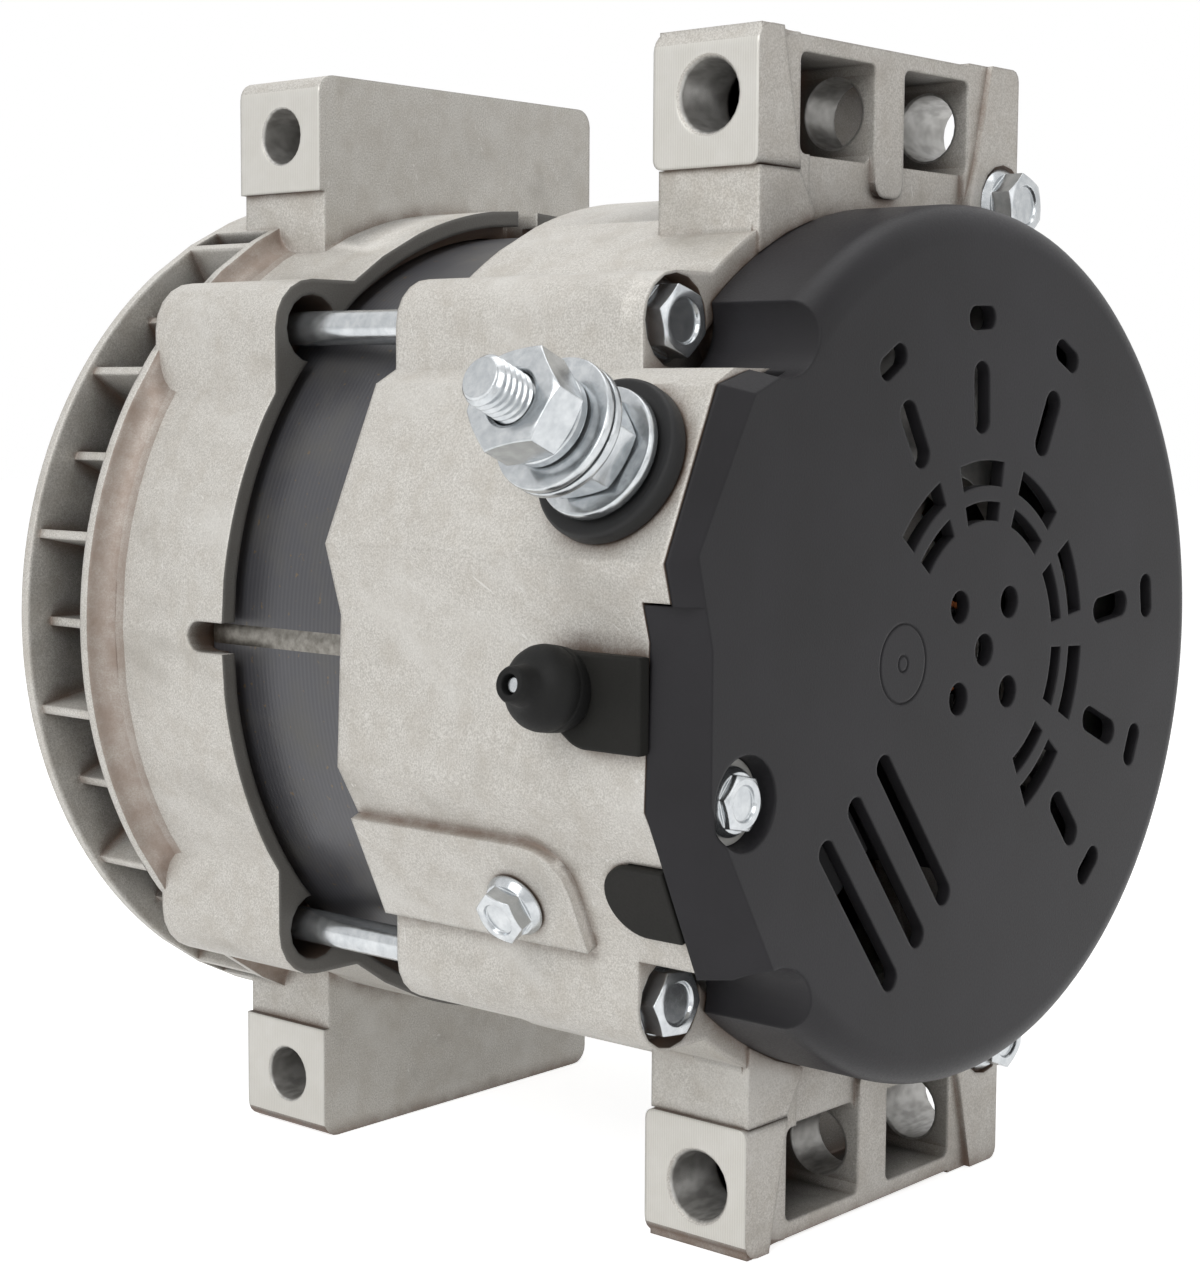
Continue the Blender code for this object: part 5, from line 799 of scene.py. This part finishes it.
# %% Screw recess of the cover
SCREW_X = -0.0645
SCREW_Z = -0.0182
SCREW_SEAT = 0.0037
CUP_RADIUS = 0.0092
CUP_NEAR = 0.0012
CUP_FAR = 0.0061
RECESS_RADIUS = 0.0068
RECESS_FLARE = 0.0006
SCREW_HOLE = 0.0026
cup = carve(drum(CUP_RADIUS, CUP_NEAR, CUP_FAR, SCREW_X, SCREW_Z),
            loft(REAR_POINTS, 0.0002, REAR_POINTS, DEEP_FLANK), "INTERSECT")
cover = carve(cover, cup, "UNION")
recess = drum(RECESS_RADIUS, -0.0004, SCREW_SEAT, SCREW_X, SCREW_Z, flare=RECESS_FLARE)
cover = carve(cover, recess, "DIFFERENCE")
cover = carve(cover, drum(SCREW_HOLE, -OVERRUN, 0.0100, SCREW_X, SCREW_Z, 32), "DIFFERENCE")

# %% Vents and gate mark
HOLE_RADIUS = 0.00275
HOLE_PLACE = 0.0076
ARC_ROWS = ((0.0274, 0.0316), (0.0216, 0.0248))
HALF_ARC = 12.25
LONG_ANGLE = -52.3
LONG_PITCH = 0.0096
LONG_X = -0.0275
LONG_Z = -0.0340
LONG_SLOT = (0.0330, 0.0043)
RADIAL_RING = 0.0420
RADIAL_SLOT = (0.0120, 0.0047)
TANGENT_RING = 0.0550
TANGENT_SLOT = (0.0080, 0.0040)
GATE_PLACE = (-0.0239, 0, -0.0005)
vents = [drum(HOLE_RADIUS, -OVERRUN, VENT_END, x * HOLE_PLACE, z * HOLE_PLACE, 32)
         for x, z in ((0, 0), (1, 1), (-1, 1), (-1, -1), (1, -1))]
for angle in (129.0, 93.0, 57.0, 21.0, -15.0, -51.0):
    vents += [arc_vent(inner, outer, angle - HALF_ARC, angle + HALF_ARC) for inner, outer in ARC_ROWS]
for angle in (121.0, 93.0, 63.5, 6.5, -23.0, -49.5):
    vents.append(vent(*on_ring(RADIAL_RING, angle), *RADIAL_SLOT, angle))
for angle in (120.6, 92.6, 63.3, 6.3, -22.6, -49.0):
    vents.append(vent(*on_ring(TANGENT_RING, angle), *TANGENT_SLOT, angle + 90))
for index in (-1, 0, 1):
    shift_x, shift_z = on_ring(LONG_PITCH * index, LONG_ANGLE + 90)
    vents.append(vent(LONG_X + shift_x, LONG_Z + shift_z, *LONG_SLOT, LONG_ANGLE))
cover = carve(cover, together(*vents), "DIFFERENCE")


def fine_groove(radius, steps):
    """Cutter for a fine round groove in the rear face."""
    return along_shaft(spun([(radius - 0.0003, -0.0002), (radius + 0.0003, -0.0002),
                             (radius + 0.0001, 0.0003), (radius - 0.0001, 0.0003)], steps))


gate = together(fine_groove(0.0064, 64), fine_groove(0.0013, 32))
bmesh.ops.translate(gate, verts=gate.verts[:], vec=GATE_PLACE)
cover = carve(cover, gate, "DIFFERENCE")
piece("moulded_rear_cover", cover, IN_PLACE, PLASTIC, nodes=("rear_cover",), sharp=32.0)

# %% [markdown]
# ## The core's seam
# Seam welds along the outside hold the core's rings together. One faces the notch in the drive
# end's rim and is bare, so it shines against the lacquer. It is a shallow arc pushed along the core.

# %% Weld seam
def seam_bead(width, rise, length):
    """Low bead along local x, its flat side down."""
    bm = bmesh.new()
    curve = (width * width / 4 + rise * rise) / (2 * rise)
    half = math.degrees(math.asin(width / 2 / curve))
    outline = bend(0, rise - curve, curve, 90 - half, 90 + half, 8)
    outline += [(-width / 2, -rise), (width / 2, -rise)]
    bm.faces.new([bm.verts.new((0.0, y, z)) for y, z in outline])
    return pushed(bm, (length, 0, 0))


SEAM = bright_metal("ground_weld_steel", "#6B6862", "#8F8C86", 0.36, 0.0016, 0.0002, 0.00002)
piece("core_weld_seam", seam_bead(0.0040, 0.00035, 0.0455), side_frame(180.0, 0.0663, 0.0717, -0.0003),
      SEAM)

# %% [markdown]
# ## Screw threads
# A thread is a ridge that climbs one pitch in each turn. A profile of several teeth is spun once
# around with a small lift at every step, so that each tooth ends where the next one began. A
# turned envelope with a chamfered tip then trims both ends.

# %% Thread builder
def threaded(radius, pitch, low, high, tip, steps=48):
    """Threaded rod along local z with a chamfered tip."""
    root = radius - pitch * 0.6
    count = int((high - low) / pitch) + 3
    base = low - 1.5 * pitch
    profile = [(0.0, base)]
    for tooth in range(count):
        start = base + tooth * pitch
        profile += [(root, start + pitch * 0.06), (radius, start + pitch * 0.45),
                    (radius, start + pitch * 0.55), (root, start + pitch * 0.94)]
    profile.append((0.0, base + count * pitch))
    bm = bmesh.new()
    chain(bm, profile, False)
    swept(bm, steps, rise=pitch)
    bmesh.ops.remove_doubles(bm, verts=bm.verts[:], dist=0.000002)
    rim = radius * 1.02
    limit = spun([(0.0, low), (rim, low), (rim, high - tip), (rim - tip, high), (0.0, high)], steps)
    return carve(filled(bm), limit, "INTERSECT")


def turned_nut(across, low, high, bore, turn=0.0):
    """Hex nut whose corners were turned to cones and whose hole is countersunk."""
    rim = corner_radius(across)
    flat = across / 2 * 0.985
    drop = (rim - flat) * math.tan(math.radians(30))
    sink = bore * 0.12
    ring = spun([(bore + sink, low), (flat, low), (rim * 1.01, low + drop), (rim * 1.01, high - drop),
                 (flat, high), (bore + sink, high), (bore, high - sink), (bore, low + sink)])
    return carve(ring, hex_bar(across, low - across, high + across, turn), "INTERSECT")


STUD_RADIUS = 0.0039
STUD_PITCH = 0.00125
THREAD_START = 0.0790
STUD_TIP = 0.1118
STUD_AXIS = side_frame(STUD_ANGLE, STUD_DEPTH)
stud = threaded(STUD_RADIUS, STUD_PITCH, THREAD_START, STUD_TIP, 0.0009)
shank = spun([(0.0, 0.0620), (STUD_RADIUS * 0.98, 0.0620), (STUD_RADIUS * 0.98, THREAD_START + 0.0010),
              (0.0, THREAD_START + 0.0010)], 48)
zinc_piece("threaded_battery_stud", together(stud, shank), STUD_AXIS, "battery_stud", sharp=35.0)

# %% [markdown]
# ## The battery terminal
# The output stud carries, from the body outward, a thick insulating ring, a large washer, a nut, a
# thin washer, a flat washer with a split spring washer, and the outer nut that clamps the cable.
# Washers are stamped, so their outer edges are rounded. The pairs below are the two faces of each,
# from the shaft's axis outward.

# %% Insulator, washers and nuts
def stamped_washer(outer, bore, low, high, edge):
    """Washer with rounded outer edges."""
    cut = edge * 0.3
    return spun([(bore, low), (outer - edge, low), (outer - cut, low + cut), (outer, low + edge),
                 (outer, high - edge), (outer - cut, high - cut), (outer - edge, high), (bore, high)], 128)


def split_washer(outer, bore, low, high, gap_angle):
    """Square-section spring ring, cut through and sprung apart along its axis."""
    bm = bmesh.new()
    rise = (high - low) * 0.16
    edge = (high - low) * 0.12
    chain(bm, [(bore, low), (outer - edge, low), (outer, low + edge), (outer, high - rise - edge),
               (outer - edge, high - rise), (bore, high - rise)], True)
    swept(bm, 88, math.radians(360 - gap_angle), rise)
    return filled(bm)


BORE = STUD_RADIUS + 0.0003
WASHER_RIM = 0.0104
SPRING_RADIUS = 0.0072
NUT_ACROSS = 0.0148
NUT_TURN = 43
LARGE_WASHER = (0.0835, 0.0857)
INNER_NUT = (0.0860, 0.0920)
THIN_WASHER = (0.0923, 0.0939)
FLAT_WASHER = (0.0942, 0.0958)
SPRING_WASHER = (0.0961, 0.0983)
OUTER_NUT = (0.0986, 0.1051)
ring = spun([(BORE, 0.0772), (0.0067, 0.0772), (0.0067, 0.0802), (0.01265, 0.0802), (0.01285, 0.0806),
             (0.01285, 0.0822), (0.0127, 0.0828), (0.0123, 0.0832), (0.0115, 0.0832), (0.0109, 0.0829),
             (BORE, 0.0829)], 128)
piece("moulded_insulator", ring, STUD_AXIS, PHENOLIC, nodes=("stud_insulator",))
for name, node, form in (
        ("large_stud_washer", "stud_large_washer", stamped_washer(WASHER_RIM, BORE, *LARGE_WASHER, 0.0006)),
        ("inner_stud_nut", "stud_inner_nut", turned_nut(NUT_ACROSS, *INNER_NUT, BORE, NUT_TURN)),
        ("thin_stud_washer", "stud_thin_washer", stamped_washer(WASHER_RIM, BORE, *THIN_WASHER, 0.0004)),
        ("flat_stud_washer", "stud_flat_washer", stamped_washer(WASHER_RIM, BORE, *FLAT_WASHER, 0.0004)),
        ("split_stud_washer", "stud_spring_washer", split_washer(SPRING_RADIUS, BORE, *SPRING_WASHER, 8)),
        ("outer_stud_nut", "stud_outer_nut", turned_nut(NUT_ACROSS, *OUTER_NUT, BORE, NUT_TURN))):
    zinc_piece(name, form, STUD_AXIS, node)

# %% [markdown]
# ## Flanged hex bolts
# The housings are held by zinc-plated flanged bolts. The flange slopes up to a hexagon with turned
# corners, and the head's top is a plain shallow bowl.

# %% Flanged bolt builder
SEAT_GAP = 0.0003
M6_HEAD = (0.0068, 0.0100, 0.0060, 0.0030)
SIDE_HEAD = (0.00544, 0.0080, 0.0048, 0.0023)
COVER_HEAD = (0.00544, 0.0080, 0.0032, 0.0023)


def flanged_bolt(flange, across, height, rod, length, turn=0.0):
    """Bolt with its seat at local zero and its head outward."""
    rim = corner_radius(across)
    top = SEAT_GAP + height
    skirt = spun([(0.0, -length), (rod * 0.85, -length), (rod, -length + rod * 0.3), (rod, SEAT_GAP),
                  (flange * 0.97, SEAT_GAP), (flange, SEAT_GAP + 0.0003), (flange * 0.985, SEAT_GAP + 0.0008),
                  (rim, SEAT_GAP + 0.0019), (0.0, SEAT_GAP + 0.0019)])
    crown = spun([(0.0, SEAT_GAP + 0.0010), (rim * 1.01, SEAT_GAP + 0.0010), (rim * 1.01, top - 0.0004),
                  (across * 0.49, top - 0.0001), (across * 0.47, top), (across * 0.36, top),
                  (across * 0.345, top - 0.0002), (across * 0.33, top - 0.0006), (0.0, top - 0.0007)])
    head = carve(crown, hex_bar(across, SEAT_GAP - 0.0001, top + 0.0010, turn), "INTERSECT")
    return together(skirt, head)


for place, side_x, side_z, turn in (("upper_left", -1, 1, 12), ("upper_right", 1, 1, 40),
                                    ("lower_left", -1, -1, 25), ("lower_right", 1, -1, 5)):
    zinc_piece("flanged_bolt_" + place, flanged_bolt(*M6_HEAD, 0.1040, turn),
               rear_frame(side_x * BOLT_X, side_z * BOLT_Z, 0.0260), "through_bolt_" + place)
for place, side in (("upper", 1), ("lower", -1)):
    zinc_piece("flanged_lug_bolt_" + place, flanged_bolt(*M6_HEAD, 0.0130, 8),
               rear_frame(0.0365, side * 0.0763, 0.0223), "lug_bolt_" + place)
zinc_piece("flanged_side_bolt", flanged_bolt(*SIDE_HEAD, 0.0082, 14),
           side_frame(LOWER_FACET, 0.0417, 0.0789, 0.0057), "side_bolt")
screw_place = rear_frame(SCREW_X, SCREW_Z, SCREW_SEAT)
piece("cover_screw_washer", stamped_washer(0.0067, 0.0024, -0.00002, 0.00026, 0.0001), screw_place,
      MATT_SHEET)
zinc_piece("flanged_cover_screw", flanged_bolt(*COVER_HEAD, 0.0109, 18), screw_place, "cover_screw")

# %% [markdown]
# ## The relay terminal's arm and boot, and the terminal plug
# A small nylon arm reaches from the cover over the casting and carries the relay terminal. Its
# rubber boot is spun from one profile: a straight skirt, a dome, and a long nipple with an open
# hole, in which the bright end of the pin shows. The half-round plug below closes the unused
# terminal opening. Arm and plug are outlines with true arcs, pushed out and given soft edges.

# %% Boot, pin, arm and plug
def plate(points, frame_place, low, high):
    """Outline in local x and y pushed out along local z, and moved to its place."""
    bm = bmesh.new()
    bm.faces.new([bm.verts.new((x, y, low)) for x, y in points])
    bmesh.ops.transform(pushed(bm, (0, 0, high - low)), matrix=frame_place, verts=bm.verts[:])
    return bm


RELAY_DEPTH = 0.0240
RELAY_AXIS = side_frame(171.0, RELAY_DEPTH)
RELAY_AXIS.translation = Vector((-0.0791, station(RELAY_DEPTH), -0.0019))
boot = spun([(0.0016, -0.0004), (0.0062, -0.0004), (0.0065, 0.0006), (0.0066, 0.0024), (0.0064, 0.0027),
             (0.0066, 0.0030), (0.0066, 0.0040), (0.0064, 0.0050), (0.0059, 0.0060), (0.0051, 0.0068),
             (0.0042, 0.0073), (0.0035, 0.0077), (0.0032, 0.0082), (0.0029, 0.0100), (0.0028, 0.0108),
             (0.0025, 0.0113), (0.0020, 0.0114), (0.0016, 0.0112)], 96)
piece("moulded_relay_boot", boot, RELAY_AXIS, RUBBER, nodes=("relay_boot",), sharp=40.0)
pin = spun([(0.0, -0.0086), (0.0013, -0.0086), (0.0013, 0.0100), (0.0011, 0.0103), (0.0, 0.0103)], 48)
zinc_piece("plated_relay_pin", pin, RELAY_AXIS, "relay_stud")
arm_outline = [(0.0084, 0.0105), (0.0084, -0.0040), (0.0190, -0.0040)] + bend(0.0240, 0.0019, 0.0064, -70, 90)
arm_outline += bend(0.0190, 0.0045, 0.0060, 60, 90)
arm = plate(arm_outline, side_frame(180.0, 0.0), 0.0768, 0.0793)
piece("relay_arm", arm, IN_PLACE, MATT_NYLON, nodes=("relay_terminal_block",), bevel=0.0004)
PLUG_FACE = 0.0766
plug_outline = [(0.0098, 0.0090), (0.0098, -0.0040)] + bend(0.0165, 0.0025, 0.0065, -90, 90, 24)
plug = plate(plug_outline, side_frame(LOWER_FACET, 0.0), PLUG_FACE - 0.0032, PLUG_FACE + 0.0012)
piece("half_round_plug", plug, IN_PLACE, MATT_NYLON, nodes=("terminal_plug",), bevel=0.0003)

# %% [markdown]
# ## The drive end of the shaft
# The shaft's nose is ground for a pulley hub and ends in a fine thread with its nut and washer.

# %% Shaft end
NOSE_AXIS = front_frame(0.0)
NUT_BORE = 0.0082
bar = spun([(0.0, 0.0055), (0.0051, 0.0055), (0.0055, 0.0059), (0.0055, 0.0220), (0.0081, 0.0220),
            (0.0085, 0.0224), (0.0085, 0.0440), (0.0110, 0.0440), (0.0110, 0.1183), (0.0125, 0.1183),
            (0.0125, 0.1600), (0.0111, 0.1600), (0.0111, 0.1874), (0.0105, 0.1880), (0.0076, 0.1880),
            (0.0070, 0.1886), (0.0, 0.1886)])
nose = threaded(0.0079, 0.0020, 0.1878, OVERALL_LENGTH, 0.0012, 64)
piece("turned_shaft", together(bar, nose), NOSE_AXIS, STEEL, "rotor", ("rotor_shaft",))
for node_name in ("shaft_collar", "fan_spacer", "front_bearing_inner", "rear_bearing_inner"):
    finished_copy(node_name, STEEL, "rotor")
for node_name in ("slip_ring_inner", "slip_ring_outer"):
    finished_copy(node_name, COPPER, "rotor")
finished_copy("slip_ring_sleeve", PLASTIC, "rotor")
for node_name in ("front_bearing_outer", "rear_bearing_outer"):
    finished_copy(node_name, STEEL)
zinc_piece("shaft_washer_turned", stamped_washer(0.0145, NUT_BORE, 0.1883, 0.1913, 0.0004), NOSE_AXIS,
           "shaft_washer", "rotor")
zinc_piece("shaft_nut_turned", turned_nut(0.0240, 0.1916, 0.2026, NUT_BORE), NOSE_AXIS, "shaft_nut", "rotor")

# %% [markdown]
# ## Small inner parts
# Diodes, brushes, springs and retainer screws keep their CAD meshes and only need their finish.

# %% Finishes on CAD nodes that stay
def finish_node(node, material):
    """Procedural finish on a CAD node that stays as it is."""
    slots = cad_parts[node].data.materials
    if len(slots) == 0:
        slots.append(material)
    for index in range(len(slots)):
        slots[index] = material


for number in (1, 2, 3):
    finish_node("positive_diode_" + str(number), STEEL)
    finish_node("negative_diode_" + str(number), STEEL)
for number in (1, 2, 3, 4):
    finish_node("retainer_screw_" + str(number), ZINC)
for place in ("outer", "inner"):
    finish_node("brush_" + place, CARBON)
    finish_node("brush_spring_" + place, STEEL)

# %% [markdown]
# ## Floor, daylight and lamps
# The object stands on a white floor in a white room. The floor adds a little white of its own, so
# it meets the white background and still takes a soft shadow. The world lights the object at a
# plain level, and three broad lamps stand in for the photographer's soft boxes.

# %% Floor and world
FLOOR_HEIGHT = -0.1009
FLOOR_GLOW = 0.78
ROOM_LIGHT = 0.32
floor_bm = bmesh.new()
bmesh.ops.create_grid(floor_bm, x_segments=1, y_segments=1, size=3.0)
bmesh.ops.translate(floor_bm, verts=floor_bm.verts[:], vec=(0, 0, FLOOR_HEIGHT))
floor = mesh_object("floor", floor_bm)


def seen_directly(tree):
    """One for rays from the camera, a mirror or a clear body, else zero."""
    ray = add_node(tree, "ShaderNodeLightPath").outputs
    first = calculate(tree, "MAXIMUM", ray["Is Camera Ray"], ray["Is Glossy Ray"])
    return calculate(tree, "MAXIMUM", first, ray["Is Transmission Ray"])


paper = bpy.data.materials.new("white_paper")
paper.use_nodes = True
paper_tree = paper.node_tree
paper_shader = paper_tree.nodes["Principled BSDF"].inputs
paper_shader["Base Color"].default_value = linear("#F2F2F2")
paper_shader["Roughness"].default_value = 0.9
paper_shader["Specular IOR Level"].default_value = 0.0
paper_shader["Emission Color"].default_value = linear("#FFFFFF")
glow = masked(paper_tree, seen_directly(paper_tree), FLOOR_GLOW)
paper_tree.links.new(glow, paper_shader["Emission Strength"])
floor.data.materials.append(paper)

world = bpy.data.worlds.new("white_room")
bpy.context.scene.world = world
world.use_nodes = True
sky = world.node_tree
sky.nodes["Background"].inputs["Color"].default_value = linear("#FFFFFF")
level = spread(sky, seen_directly(sky), 0.0, 1.0, ROOM_LIGHT, 1.0)
sky.links.new(level, sky.nodes["Background"].inputs["Strength"])

# %% Lamps
MIDDLE = Vector((0.0, -0.1, 0.0))


def soft_box(name, place, width, height, power):
    """Broad lamp aimed at the middle of the object."""
    lamp = bpy.data.lights.new(name, "AREA")
    lamp.shape = "RECTANGLE"
    lamp.size = width
    lamp.size_y = height
    lamp.energy = power
    item = linked(name, lamp)
    item.location = Vector(place)
    aim = MIDDLE - item.location
    item.rotation_euler = aim.to_track_quat("-Z", "Y").to_euler()


soft_box("key_box", (-1.25, -0.35, 0.85), 0.9, 0.9, 10.0)
soft_box("rear_box", (0.30, -1.35, 0.45), 0.9, 0.7, 1.4)
soft_box("top_box", (0.05, -0.05, 1.20), 0.9, 0.9, 4.5)
print("stage ready")

# %% [markdown]
# ## The camera
# The camera stands where the photographer stood: behind and to the left of the slip-ring end, a
# little above the shaft. Its place, turn and focal length were worked out from the round rims and
# the four lug holes.

# %% Camera
TURN = math.radians(-48.93)
TILT = math.radians(5.63)
ROLL = math.radians(0.34)
FOCAL_LENGTH = 68.78
CAMERA_PLACE = (-0.34807, -0.42426, 0.04137)
right = Vector((math.cos(TURN), math.sin(TURN), 0))
up = Vector((-math.sin(TURN) * math.sin(TILT), math.cos(TURN) * math.sin(TILT), math.cos(TILT)))
back = Vector((math.sin(TURN) * math.cos(TILT), -math.cos(TURN) * math.cos(TILT), math.sin(TILT)))
rolled_right = right * math.cos(ROLL) + up * math.sin(ROLL)
rolled_up = up * math.cos(ROLL) - right * math.sin(ROLL)
lens = bpy.data.cameras.new("photo_camera")
lens.sensor_width = 36.0
lens.sensor_fit = "AUTO"
lens.lens = FOCAL_LENGTH
lens.clip_start = 0.01
camera = linked("photo_camera", lens)
aim = Matrix((rolled_right, rolled_up, back)).transposed().to_4x4()
camera.matrix_world = Matrix.Translation(CAMERA_PLACE) @ aim
bpy.context.scene.camera = camera
bpy.context.scene.view_settings.view_transform = "Standard"
print("camera at", tuple(camera.location))
